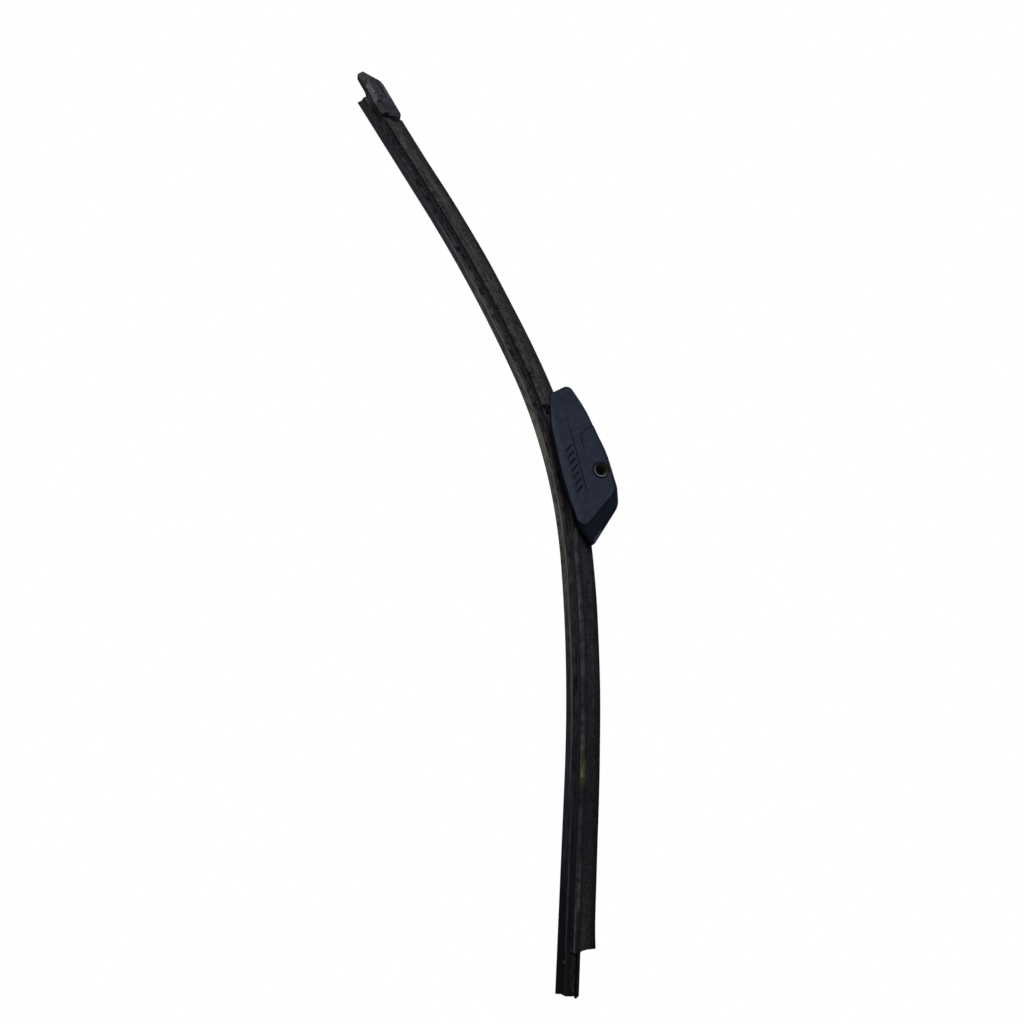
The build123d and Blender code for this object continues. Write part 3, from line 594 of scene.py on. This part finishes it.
def lip_rubber():
    """Dusty lip, pale line at its root, darker shoulders, painted light in the shaded slots beside the
    neck, and a brown stain at the bare end.
    """
    colours = bpy.context.scene.wiper_colours
    finish = Finish("lip_rubber")
    run = finish.along("run")
    rise = finish.along("rise")
    where = run_share(finish)
    # Neck and head zone, which takes the painted light
    deep = finish.rise(rise, -2.85 * MM, -2.70 * MM)
    lines = streaks(finish, 55.0, 1250.0)
    blotches = streaks(finish, 220.0, 420.0)
    grain = finish.noise(5200.0, 2.0)
    contrast = 0.65 + 0.85 * finish.rise(rise, -5.20 * MM, -4.40 * MM)
    # Dust strength, and in the slots the strength of the painted light
    dust = lip_dust_and_gap_light(finish, rise, where, deep)
    dust = dust * (1.0 + contrast * (1.0 - deep) * (lines + blotches - 1.0))
    warm = finish.band(where, 0.26, 0.67, 0.06) * (0.45 + 0.55 * streaks(finish, 70.0, 260.0))
    warm = warm * finish.rise(rise, -4.20 * MM, -4.60 * MM)
    tone = finish.mix(warm, colours.lip_haze, colours.lip_dust)
    # Painted light goes into the slots only where the claws shade them, not along the open stretch by the
    # connector
    open_gap = finish.band(run, -26.5 * MM, 36.3 * MM, 1.5 * MM)
    tone = finish.mix(deep * (1.0 - open_gap), tone, colours.gap)
    dusty_and_gap_light = finish.mix(dust, colours.rubber, tone)
    line_tone = finish.mix(warm * 0.8, colours.ridge, colours.warm_ridge)
    dusty_and_gap_light = finish.mix(lip_line(finish, run, rise, where, lines), dusty_and_gap_light, line_tone)
    block = finish.rise(run, 216.3 * MM, 217.2 * MM) * finish.rise(rise, -4.50 * MM, -4.35 * MM)
    stain = block * (0.25 + 0.9 * blotches)
    by_cap = finish.rise(where, 0.12, 0.04) * (0.05 + 0.35 * blotches) * (1.0 - deep)
    return finish.done(
        Base_Color=finish.mix(stain + by_cap, dusty_and_gap_light, colours.stain),
        Roughness=0.65 + 0.2 * lines,
        Specular_IOR_Level=0.03,
        Normal=finish.bump(lines + 0.4 * grain, 0.08 * MM, 0.5),
    )


def claw_dust_and_highlight(finish, run, rise, where, late):
    """Strength of the dust on the claws, with a painted highlight on their lower edge beyond the connector
    and a darker lower edge before it.
    """
    claw = finish.ramp(where, [
        (0.0, 0.16), (0.09, 0.32), (0.42, 0.37), (0.60, 0.52), (0.68, 0.51), (0.74, 0.24),
        (0.775, 0.60), (0.815, 0.18), (0.87, 0.28), (0.92, 0.48),
    ])
    even = finish.band(run, 183.0 * MM, 199.0 * MM, 3.0 * MM)
    last = finish.rise(run, 199.0 * MM, 202.0 * MM)
    # Painted highlight along the claws' rounded lower edge beyond the connector; before it the same edge
    # is darker
    low_edge = finish.rise(rise, -1.80 * MM, -2.10 * MM) * (1.0 - even) * (1.0 - 0.5 * last)
    claw = claw * (1.0 - 0.7 * last * finish.rise(rise, -2.0 * MM, -1.6 * MM))
    claw = claw * (1.0 + (1.05 * late - 0.50) * low_edge)
    darker = (0.10 * late + 0.45 * finish.rise(run, 95.0 * MM, 115.0 * MM)) * (1.0 - even)
    return claw * (1.0 - darker * finish.rise(rise, -1.3 * MM, -0.7 * MM))


def spoiler_dust_and_painted_light(finish, run, rise, where, late):
    """Strength of the dust on the claws, the flank and the fin's edge, with painted shade along the root
    and a painted highlight on the claws' lower edge.
    """
    flank = finish.ramp(where, [
        (0.0, 0.34), (0.30, 0.38), (0.42, 0.36), (0.58, 0.20), (0.69, 0.17), (0.80, 0.15),
        (0.85, 0.10), (0.95, 0.25),
    ])
    edge = finish.ramp(where, [
        (0.0, 0.12), (0.28, 0.17), (0.42, 0.14), (0.62, 0.09), (0.9, 0.02),
    ])
    # Root: lower values paint shade along the step where the flank leaves the claws
    root = finish.ramp(where, [
        (0.0, 0.30), (0.42, 0.30), (0.58, 0.10), (0.74, 0.11), (0.83, 0.06), (0.92, 0.07),
    ])
    # Dust strength, with the painted highlight on the claws' edge and painted shade along the root
    film = claw_dust_and_highlight(finish, run, rise, where, late)
    film = film.towards(root, finish.rise(rise, -0.35 * MM, -0.20 * MM))
    film = film.towards(flank, finish.rise(rise, 0.60 * MM, 1.60 * MM))
    outward = finish.rise(rise, 2.60 * MM, 7.20 * MM)
    outward = outward.towards(finish.rise(rise, 4.20 * MM, 7.40 * MM), late)
    return film.towards(edge, outward)


def spoiler_tone(finish, run, rise, late, on_claw):
    """Colour of that dust: grey with green, violet and brown parts."""
    colours = bpy.context.scene.wiper_colours
    hue = finish.noise(170.0, 3.0, 0.6)
    green = finish.rise(hue, 0.50, 0.62) * (1.0 - 0.8 * late)
    tone = finish.mix(green, colours.spoiler_dust, colours.moss)
    second = finish.rise(hue, 0.48, 0.36) + late * finish.rise(hue, 0.36, 0.48)
    second = second * (1.0 - 0.6 * on_claw)
    tone = finish.mix(second, tone, finish.mix(late, colours.silt, colours.mauve))
    algae = finish.band(run, 116.0 * MM, 142.0 * MM, 8.0 * MM) * on_claw
    tone = finish.mix(algae * 0.8, tone, colours.moss)
    clear_claw = on_claw * (1.0 - 0.6 * finish.band(run, 190.0 * MM, 199.0 * MM, 2.0 * MM))
    dull = finish.rise(run, 150.0 * MM, 170.0 * MM) * finish.rise(hue, 0.46, 0.54)
    tone = finish.mix(dull * (1.0 - clear_claw), tone, colours.silt)
    brown = finish.rise(run, 186.0 * MM, 202.0 * MM) * finish.rise(rise, 0.0, 1.0 * MM)
    return finish.mix(brown, tone, colours.silt)


def spoiler_rubber():
    """Claw band with a painted highlight on its lower edge, root darkened as painted shade, mottled grey
    flank that darkens to the fin's edge, painted light under the claws' feet, and a spill of dirt.
    """
    colours = bpy.context.scene.wiper_colours
    finish = Finish("spoiler_rubber")
    run = finish.along("run")
    rise = finish.along("rise")
    wide = abs(finish.place()[1])
    where = run_share(finish)
    late = finish.rise(where, 0.44, 0.56)
    on_claw = finish.rise(rise, -0.20 * MM, -0.35 * MM)
    lines = streaks(finish, 30.0, 800.0)
    patches = finish.noise(260.0, 6.0, 0.7)
    blotches = finish.rise(patches, 0.36, 0.66)
    specks = finish.rise(finish.noise(1100.0, 3.0, 0.6), 0.48, 0.68)
    spots = 1.20 * specks * (1.0 - 0.8 * late * on_claw)
    # Dust strength, with the painted highlight on the claws and the painted shade along the root
    dust = spoiler_dust_and_painted_light(finish, run, rise, where, late)
    dust = dust * (0.08 + 0.50 * lines + 0.70 * blotches + spots)
    fleck = finish.band(run, 164.8 * MM, 165.4 * MM, 0.3 * MM)
    dust = dust + 0.2 * fleck * finish.band(rise, 6.3 * MM, 6.8 * MM, 0.2 * MM)
    grime_and_painted_light = finish.mix(dust, colours.spoiler, spoiler_tone(finish, run, rise, late, on_claw))
    # Painted light: the underside of the claws' feet takes a little of the pale gap colour beyond the
    # connector
    foot = finish.rise(wide, 5.60 * MM, 5.40 * MM) * finish.rise(rise, -1.9 * MM, -2.1 * MM)
    grime_and_painted_light = finish.mix(foot * late * 0.2, grime_and_painted_light, colours.gap)
    spill = finish.band(run, 143.0 * MM, 147.8 * MM, 6.0 * MM) * finish.rise(rise, 0.9 * MM, -0.9 * MM)
    spill = spill * (0.35 + 0.50 * blotches + 0.30 * specks)
    grime_and_painted_light = finish.mix(spill * 0.65, grime_and_painted_light, colours.dirt)
    crust = finish.band(run, 145.8 * MM, 147.2 * MM, 1.2 * MM)
    crust = crust * finish.band(rise, -1.90 * MM, -1.50 * MM, 0.30 * MM)
    return finish.done(
        Base_Color=finish.mix(crust * 0.25, grime_and_painted_light, colours.crust),
        Roughness=0.65 + 0.25 * patches,
        Specular_IOR_Level=0.03,
        Normal=finish.bump(lines + blotches, 0.08 * MM, 0.5),
    )


# Moulded and metal finishes
def flat_housing(finish, x, wide, z):
    """1 on the connector's flat faces and on the floor of its recessed strip, 0 elsewhere, so the bevel
    keeps the darker plastic as painted shade.
    """
    strip = finish.rise(wide, 8.40 * MM, 8.75 * MM) * finish.rise(z, -9.2 * MM, -9.7 * MM)
    strip = strip * finish.rise(x, 13.2 * MM, 12.6 * MM)
    return finish.rise(wide, 9.00 * MM, 9.22 * MM).towards(1.0, strip)


def housing_painted_shade(finish, x, wide, z):
    """Less than 1 where painted shade darkens the connector: in the rivet's well, as a painted shadow
    beside the rivet towards the bow and the lip, along the crown and in the seam.
    """
    from_rivet = (x * x + z * z) ** 0.5
    # Painted shade in the rivet's well
    well = finish.rise(from_rivet, 4.15 * MM, 4.05 * MM) * finish.rise(wide, 9.25 * MM, 9.15 * MM)
    # Painted shadow beside the rivet
    shade = finish.rise(from_rivet, 4.80 * MM, 4.35 * MM) * finish.rise(x - z, -2.0 * MM, 3.0 * MM)
    top = (6.13 * MM + 0.174 * x).smaller(4.69 * MM + 0.03 * x)
    # Painted shade along the crown, where the top edge turns away
    crown = finish.rise(top - z, 0.85 * MM, 0.45 * MM) * finish.rise(x, -26.0 * MM, -14.0 * MM)
    # Painted shade in the seam at the panel's step
    seam = finish.band(z, -9.85 * MM, -9.50 * MM, 0.12 * MM)
    seam = seam * finish.band(x, -18.0 * MM, 8.2 * MM, 12.0 * MM) * finish.rise(x, 9.2 * MM, 8.2 * MM)
    return (1.0 - 0.9 * well) * (1.0 - 0.75 * shade) * (1.0 - crown) * (1.0 - 0.6 * seam)


def bow_edge_highlight(finish, x, z):
    """Painted highlight: a thin line just inside the edge of the bow and of its rounded corner."""
    slope = 0.811 * x + 0.585 * z - 11.277 * MM
    corner = ((x - 5.3 * MM) ** 2.0 + (z + 5.15 * MM) ** 2.0) ** 0.5 - 10.0 * MM
    inside = slope.towards(corner, finish.rise(z, 0.4 * MM, 1.0 * MM))
    return finish.band(inside, -0.42 * MM, -0.12 * MM, 0.15 * MM)


def housing_plastic():
    """Dark plastic with a worn paler film on the flat faces, dust at the lower edge, painted shade on the
    bevel and round the rivet, and painted highlights along the bow's edge and the nose.
    """
    colours = bpy.context.scene.wiper_colours
    finish = Finish("housing_plastic")
    x, y, z = finish.place()
    wide = abs(y)
    mottle = finish.noise(140.0, 5.0, 0.6)
    smears = finish.noise(1.0, 4.0, 0.6, finish.vector(x * 420.0, y * 420.0, z * 260.0))
    smears = finish.rise(smears, 0.40, 0.72)
    grain = finish.noise(5200.0, 2.0)
    # Paler faces: worn film, with painted shade on the bevel, in the rivet's well, beside the rivet, along
    # the crown and in the seam
    film = flat_housing(finish, x, wide, z) * housing_painted_shade(finish, x, wide, z)
    worn = 0.74 + 0.40 * mottle + 0.20 * finish.rise(x, -30.0 * MM, 14.0 * MM)
    worn = film * (worn - 0.18 * finish.rise(x, -31.0 * MM, -37.0 * MM))
    worn = worn + 0.16 * finish.band(wide, 5.9 * MM, 8.0 * MM, 0.7 * MM)
    low_edge = finish.rise(z, -14.8 * MM, -16.6 * MM)
    scuff = finish.band(x, -5.3 * MM, -4.8 * MM, 0.3 * MM) * finish.band(z, -1.6 * MM, 0.8 * MM, 0.4 * MM)
    # Dust, with the painted highlight along the bow's edge
    dust = 0.22 * smears + 0.20 * low_edge + 0.22 * bow_edge_highlight(finish, x, z) + 0.5 * scuff * smears
    # Painted highlight on the nose's rounded lower edge
    nose_highlight = finish.band(wide, 4.0 * MM, 5.3 * MM, 0.25 * MM) * finish.rise(x, 22.0 * MM, 25.0 * MM)
    nose_highlight = nose_highlight * finish.band(z, -10.9 * MM, -6.9 * MM, 0.7 * MM)
    # Worn film and painted light on the faces; the darker plastic elsewhere is partly painted shade
    plastic = finish.mix(worn, colours.housing, colours.housing_film_and_face_light)
    return finish.done(
        Base_Color=finish.mix(film * dust + 0.6 * nose_highlight, plastic, colours.housing_dust_and_highlight),
        Roughness=0.45 + 0.22 * mottle,
        Specular_IOR_Level=0.01,
        Normal=finish.bump(grain, 0.04 * MM, 0.45),
    )


def cap_plastic():
    """Dark weathered cap with a chalky lower ridge, a painted highlight along its top rib, painted light
    on its shaded rear end face, and beige at its tip and window.
    """
    colours = bpy.context.scene.wiper_colours
    finish = Finish("cap_plastic")
    x, y, z = finish.place()
    out_x, out_z = CAP_DIRECTION
    out = out_x * x + out_z * z - CAP_MIDDLE_OUT
    high = out_z * x - out_x * z - CAP_MIDDLE_HIGH
    patches = finish.noise(520.0, 6.0, 0.7)
    mottle = finish.rise(patches, 0.36, 0.66)
    grain = finish.noise(3600.0, 3.0)
    chips = finish.rise(finish.noise(1150.0, 3.0, 0.65), 0.40, 0.62)
    flakes = finish.rise(finish.noise(1500.0, 2.0, 0.6), 0.50, 0.66)
    ridge = finish.band(high - 0.3 * out, 0.0, 0.9 * MM, 1.9 * MM)
    ridge = ridge * finish.band(out, -6.5 * MM, 5.5 * MM, 3.5 * MM)
    tip = finish.rise(out, 8.0 * MM, 10.5 * MM)
    window = finish.rise(high, 1.6 * MM, 0.8 * MM) * finish.rise(out, -8.0 * MM, -9.5 * MM)
    slot = finish.band(high, 6.1 * MM, 7.1 * MM, 0.3 * MM)
    slot = slot * finish.band(out, -2.8 * MM, 4.4 * MM, 0.5 * MM)
    # Top rib: painted highlight, broken up by the chalky chips
    rib = finish.rise(high, 7.2 * MM, 7.8 * MM) * finish.band(out, -4.0 * MM, 4.4 * MM, 1.5 * MM)
    rear = finish.rise(out, -7.0 * MM, -11.0 * MM)
    # Painted light on the middle of the rear end face, which lies in shade
    butt_fill_light = finish.rise(out, -17.3 * MM, -17.7 * MM) * finish.rise(abs(y), 3.9 * MM, 3.3 * MM)
    bloom_and_painted_light = 0.16 * mottle + 0.44 * mottle * chips + 0.5 * rib * chips
    bloom_and_painted_light = bloom_and_painted_light + ridge * (0.10 + 0.30 * mottle + 0.55 * chips)
    bloom_and_painted_light = bloom_and_painted_light * (1.0 - 0.8 * slot) * (1.0 - 0.4 * rear) + butt_fill_light * (0.30 + 0.20 * mottle)
    chalk_and_painted_light = finish.mix(bloom_and_painted_light, colours.cap, colours.cap_bloom_and_painted_light)
    film = tip * (0.80 - 0.6 * chips) + window * (0.50 + 0.35 * mottle)
    beige = finish.mix(film, chalk_and_painted_light, colours.cap_tip)
    return finish.done(
        Base_Color=finish.mix(tip * 0.5 * flakes, beige, colours.cap_bloom_and_painted_light),
        Roughness=0.65 + 0.2 * patches,
        Specular_IOR_Level=0.04,
        Normal=finish.bump(grain + patches, 0.08 * MM, 0.6),
    )


def rail_steel():
    """Nearly black steel with thin brown rust."""
    colours = bpy.context.scene.wiper_colours
    finish = Finish("rail_steel")
    x, y, z = finish.place()
    patches = finish.noise(1.0, 6.0, 0.65, finish.vector(x * 320.0, y * 700.0, z * 700.0))
    rust = finish.rise(patches, 0.46, 0.68) * finish.rise(x, 120.0 * MM, 40.0 * MM)
    return finish.done(
        Base_Color=finish.mix(rust, colours.rail, colours.rust),
        Roughness=0.6 + 0.25 * rust,
        Specular_IOR_Level=0.05,
        Normal=finish.bump(patches, 0.05 * MM, 0.5),
    )


def sleeve_steel():
    """Worn flare with a painted highlight on the side that faces the bow and painted shade on its outer
    wall, round a dull dark bore.
    """
    colours = bpy.context.scene.wiper_colours
    finish = Finish("sleeve_steel")
    x, y, z = finish.place()
    wear = finish.noise(900.0, 5.0, 0.6)
    # Outer edge and wall of the flare: dark steel, and painted shade
    outer = finish.rise((x * x + z * z) ** 0.5, 3.46 * MM, 3.56 * MM)
    flare = finish.rise(abs(y), 8.95 * MM, 9.15 * MM)
    # Wear, brightest as a painted highlight on the side that faces the bow
    worn = flare * (1.0 - outer) * (0.04 + 0.96 * finish.rise(x - z, -1.4 * MM, 3.6 * MM))
    dull = finish.mix(flare * 0.7, colours.tarnish, colours.rail)
    dull = finish.mix(outer, dull, colours.rail)
    return finish.done(
        Base_Color=finish.mix(worn * (0.6 + 0.6 * wear), dull, colours.steel),
        Metallic=0.4 * worn,
        Roughness=0.40 + 0.3 * wear,
        Specular_IOR_Level=0.05,
        Normal=finish.bump(wear, 0.04 * MM, 0.4),
    )


def bracket_steel():
    """Black paint with a few rusty patches."""
    colours = bpy.context.scene.wiper_colours
    finish = Finish("bracket_steel")
    patches = finish.noise(240.0, 5.0)
    return finish.done(
        Base_Color=finish.mix(finish.rise(patches, 0.55, 0.75) * 0.5, colours.bracket, colours.rust),
        Roughness=0.4 + 0.3 * patches,
        Specular_IOR_Level=0.25,
        Normal=finish.bump(patches, 0.04 * MM, 0.4),
    )


def adapter_plastic():
    """Plain dark plastic with a little dust."""
    colours = bpy.context.scene.wiper_colours
    finish = Finish("adapter_plastic")
    grain = finish.noise(3800.0, 3.0)
    mottle = finish.noise(200.0, 4.0)
    return finish.done(
        Base_Color=finish.mix(0.25 * mottle, colours.adapter, colours.housing_dust_and_highlight),
        Roughness=0.45 + 0.2 * mottle,
        Specular_IOR_Level=0.2,
        Normal=finish.bump(grain, 0.04 * MM, 0.4),
    )


# Steps that dress the blade
class WIPER_OT_wiping_rubber(bpy.types.Operator):
    """Model the wiping rubber: one extruded strip with its head, neck, shoulders, wedge and lip"""

    bl_idname = "wiper.wiping_rubber"
    bl_label = "Wiping Rubber"

    def execute(self, context):
        size = context.scene.wiper_rubber
        soft = size.corner
        corners = [
            (0.0, size.head_top, 0, 1),
            (size.head_half, size.head_top, 2 * soft, 3),
            (size.head_half, size.slot, soft, 2),
            (size.slot_floor, size.slot, 0, 1),
            (size.slot_floor, -size.slot, 0, 1),
            (size.head_half, -size.slot, soft, 2),
            (size.head_half, size.flange_low, soft, 2),
            (size.neck_half, size.flange_low, 2 * soft, 3),
            (size.neck_half, size.neck_low, 2 * soft, 3),
            (size.shoulder_half, size.neck_low, soft, 2),
            (size.shoulder_half, size.shoulder_low, soft, 2),
            (size.lip_root_half, size.lip_root, soft, 2),
            (size.lip_half, size.lip_tip, 0, 1),
            (0.0, size.lip_tip, 0, 1),
        ]

        def filled(run, across, rise):
            """Neck and shoulders widened to the flange at the bare end."""
            inside = size.shoulder_low - soft < rise < size.flange_low + soft
            if inside and run > size.end - size.block:
                across = math.copysign(max(abs(across), size.block_half), across)
            return across, rise

        bm = bent_to_rails(straight_strip(corners, size.start, size.end), filled)
        piece("rubber_strip", bm, lip_rubber(), "blade", "lip_rubber", "wiping_rubber")
        return {"FINISHED"}


class WIPER_OT_spoilers(bpy.types.Operator):
    """Model both spoiler lengths: claws round the rails, hollow flanks and a soft fin"""

    bl_idname = "wiper.spoilers"
    bl_label = "Spoilers"

    def corners(self, size):
        grip = size.claw_bore - size.claw_grip
        soft = size.corner
        return [
            (0.0, size.fin_top, 0, 1),
            (size.tip_half * 0.5, size.fin_top, soft, 3),
            (size.tip_half, size.fin_top - size.tip_half, soft, 2),
            (size.hollow_half, size.hollow, size.hollow_round, 10),
            (size.claw_half - size.claw_step, size.seat, soft, 2),
            (size.claw_half - size.claw_step, size.claw_top, 0, 1),
            (size.claw_half, size.claw_top, soft, 3),
            (size.claw_half, size.claw_low, soft, 3),
            (grip, size.claw_low, soft, 2),
            (grip, -size.seat, 0, 1),
            (size.claw_bore, -size.seat, 0, 1),
            (size.claw_bore, size.seat, 0, 1),
            (size.head_bore, size.seat, 0, 1),
            (size.head_bore, size.head_roof, 0, 1),
            (0.0, size.head_roof, 0, 1),
        ]

    def lift(self, size):
        """Lean and end flare of the soft fin, growing from its root to its top."""

        def moved(run, across, rise):
            soft = max(rise - size.seat, 0.0) / (size.fin_top - size.seat)
            late = max(run - size.lower_end + size.flare_reach, 0.0) / size.flare_reach
            lean = sum(part * math.sin(run * rate + phase) for part, rate, phase in SWAY_WAVES)
            return across + size.sway * lean * soft * soft, rise + size.flare * late * late * soft

        return moved

    def execute(self, context):
        size = context.scene.wiper_spoiler
        material = spoiler_rubber()
        corners = self.corners(size)
        lift = self.lift(size)

        def slant(rise):
            return size.slant * (size.fin_top - rise) / (size.fin_top - size.claw_low)

        upper = straight_strip(corners, size.upper_start, size.upper_end)
        lower = straight_strip(corners, size.lower_start, size.lower_end, slant)
        for name, bm, node in (
            ("spoiler_capped_side", upper, "spoiler_upper"),
            ("spoiler_bare_side", lower, "spoiler_lower"),
        ):
            piece(name, bent_to_rails(bm, lift), material, "blade", "spoiler_rubber", node)
        return {"FINISHED"}


class WIPER_OT_rivet(bpy.types.Operator):
    """Turn the hollow rivet with its rolled flares"""

    bl_idname = "wiper.rivet"
    bl_label = "Pivot Rivet"

    def execute(self, context):
        size = context.scene.wiper_rivet
        tube = size.bore + size.wall
        rim = tube + size.flare
        corners = [
            (size.bore, 0.0, 0, 1),
            (size.bore, size.half - size.funnel, 2 * size.roll, 5),
            (rim - size.rim, size.half, size.roll, 3),
            (rim, size.half, size.roll, 3),
            (rim, size.half - size.flare_height, 0, 1),
            (tube, size.half - size.flare_height, 0, 1),
            (tube, 0.0, 0, 1),
        ]
        bm = bmesh.new()
        rounded_wire(bm, corners, lambda radius, out: (radius, out, 0.0))
        bmesh.ops.spin(
            bm, geom=bm.verts[:] + bm.edges[:], cent=(0, 0, 0), axis=(0, 1, 0),
            angle=2 * math.pi, steps=size.sides, use_merge=True, use_duplicate=False,
        )
        mirrored(bm, "Y")
        piece("rivet", bm, sleeve_steel(), "blade", "sleeve_steel", "pivot_sleeve")
        return {"FINISHED"}


class WIPER_OT_connector(bpy.types.Operator):
    """Soften the moulded connector's edges and give it its navy plastic"""

    bl_idname = "wiper.connector"
    bl_label = "Connector Housing"

    def execute(self, context):
        bm = softened_copy("connector_housing", context.scene.wiper_moulding.housing_edge)
        made = piece("connector", bm, housing_plastic(), "blade", "housing_plastic", "connector_housing")
        flat_faces(made)
        return {"FINISHED"}


class WIPER_OT_cap(bpy.types.Operator):
    """Soften the end cap's edges and give it its weathered plastic"""

    bl_idname = "wiper.cap"
    bl_label = "End Cap"

    def execute(self, context):
        bm = softened_copy("end_cap", context.scene.wiper_moulding.cap_edge)
        made = piece("cap", bm, cap_plastic(), "blade", "cap_plastic", "end_cap")
        flat_faces(made)
        return {"FINISHED"}


class WIPER_OT_metalwork(bpy.types.Operator):
    """Dress the rails, the bracket inside the connector and the hook adapter"""

    bl_idname = "wiper.metalwork"
    bl_label = "Rails, Bracket and Adapter"

    def execute(self, context):
        steel = rail_steel()
        dress("rail_near", steel)
        dress("rail_far", steel)
        dress("bracket", bracket_steel())
        dress("hook_adapter", adapter_plastic())
        return {"FINISHED"}


class WIPER_OT_stage(bpy.types.Operator):
    """Set the floor, the soft lamps, the white surroundings and the camera"""

    bl_idname = "wiper.stage"
    bl_label = "Stage"

    def floor(self, context):
        size = context.scene.wiper_stage
        bm = bmesh.new()
        bmesh.ops.create_grid(bm, x_segments=1, y_segments=1, size=size.floor_size)
        bmesh.ops.translate(bm, vec=(0, 0, CAD_BOX[0][2] - size.floor_drop), verts=bm.verts[:])
        mesh = bpy.data.meshes.new("floor")
        bm.to_mesh(mesh)
        bm.free()
        finish = Finish("floor_paint")
        finish.done(Base_Color=(*context.scene.wiper_colours.floor, 1.0), Roughness=0.9)
        below = finish.node("ShaderNodeNewGeometry", output="Backfacing")
        shadow = finish.node("ShaderNodeLightPath", output="Is Shadow Ray")
        clear = finish.node("ShaderNodeBsdfTransparent")
        paint = Sum(finish, finish.shader.outputs[0])
        hidden = finish.rise(below + shadow, 0.0, 1.0)
        both = finish.node("ShaderNodeMixShader", None, {0: hidden, 1: paint, 2: clear})
        finish.feed(finish.tree.nodes["Material Output"].inputs["Surface"], both)
        mesh.materials.append(finish.material)
        made = bpy.data.objects.new("floor", mesh)
        context.scene.collection.objects.link(made)

    def surroundings(self, context):
        """White behind the object and in its reflections, softer as a light."""
        world = bpy.data.worlds.new("surroundings")
        world.use_nodes = True
        context.scene.world = world
        nodes = Nodes(world.node_tree)
        seen, glossy, through = [
            nodes.node("ShaderNodeLightPath", output=f"Is {ray} Ray")
            for ray in ("Camera", "Glossy", "Transmission")
        ]
        shown = seen.larger(glossy).larger(through)
        sky = context.scene.wiper_stage.sky
        level = nodes.node("ShaderNodeMapRange", None, {0: shown, 3: sky, 4: 1.0})
        background = nodes.tree.nodes["Background"]
        nodes.feed(background.inputs["Color"], WHITE)
        nodes.feed(background.inputs["Strength"], level)

    def lamp(self, context, name, power, size, place):
        light = bpy.data.lights.new(name, "AREA")
        light.shape = "DISK"
        light.size = size
        light.energy = power
        made = bpy.data.objects.new(name, light)
        made.location = place
        aim = Vector(context.scene.wiper_stage.lamp_target) - Vector(place)
        made.rotation_euler = aim.to_track_quat("-Z", "Y").to_euler()
        context.scene.collection.objects.link(made)

    def camera(self, context):
        size = context.scene.wiper_stage
        lens = bpy.data.cameras.new("camera")
        lens.sensor_width = SENSOR_WIDTH
        lens.lens = size.lens
        lens.clip_start = CLIP_START
        made = bpy.data.objects.new("camera", lens)
        axes = (Vector(size.view_right), -Vector(size.view_down), -Vector(size.view_ahead))
        turned = Matrix(axes).transposed().to_4x4()
        made.matrix_world = Matrix.Translation(Vector(size.view_place)) @ turned
        context.scene.collection.objects.link(made)
        context.scene.camera = made

    def execute(self, context):
        size = context.scene.wiper_stage
        self.floor(context)
        self.surroundings(context)
        self.lamp(context, "key", size.key_power, size.key_size, size.key_place)
        self.lamp(context, "fill", size.fill_power, size.fill_size, size.fill_place)
        self.lamp(context, "back", size.fill_power, size.fill_size, size.back_place)
        self.camera(context)
        context.scene.view_settings.view_transform = "Standard"
        return {"FINISHED"}


class WIPER_PT_panel(bpy.types.Panel):
    """Lists the steps that dress the blade"""

    bl_idname = "WIPER_PT_panel"
    bl_label = "Beam Wiper Blade"
    bl_space_type = "VIEW_3D"
    bl_region_type = "UI"
    bl_category = "Wiper"

    def draw(self, context):
        for step in STEPS:
            self.layout.operator(step.bl_idname)
        for group in GROUPS:
            box = self.layout.box()
            settings = getattr(context.scene, group)
            for name in settings.__annotations__:
                box.prop(settings, name)


STEPS = (
    WIPER_OT_wiping_rubber,
    WIPER_OT_spoilers,
    WIPER_OT_rivet,
    WIPER_OT_connector,
    WIPER_OT_cap,
    WIPER_OT_metalwork,
    WIPER_OT_stage,
)
CLASSES = (*GROUPS.values(), *STEPS, WIPER_PT_panel)


def register():
    for made in CLASSES:
        bpy.utils.register_class(made)
    for name, group in GROUPS.items():
        setattr(bpy.types.Scene, name, PointerProperty(type=group))


def unregister():
    for name in GROUPS:
        delattr(bpy.types.Scene, name)
    for made in reversed(CLASSES):
        bpy.utils.unregister_class(made)


def main():
    register()
    bpy.ops.wiper.wiping_rubber()
    bpy.ops.wiper.spoilers()
    bpy.ops.wiper.rivet()
    bpy.ops.wiper.connector()
    bpy.ops.wiper.cap()
    bpy.ops.wiper.metalwork()
    bpy.ops.wiper.stage()


if __name__ == "__main__":
    main()
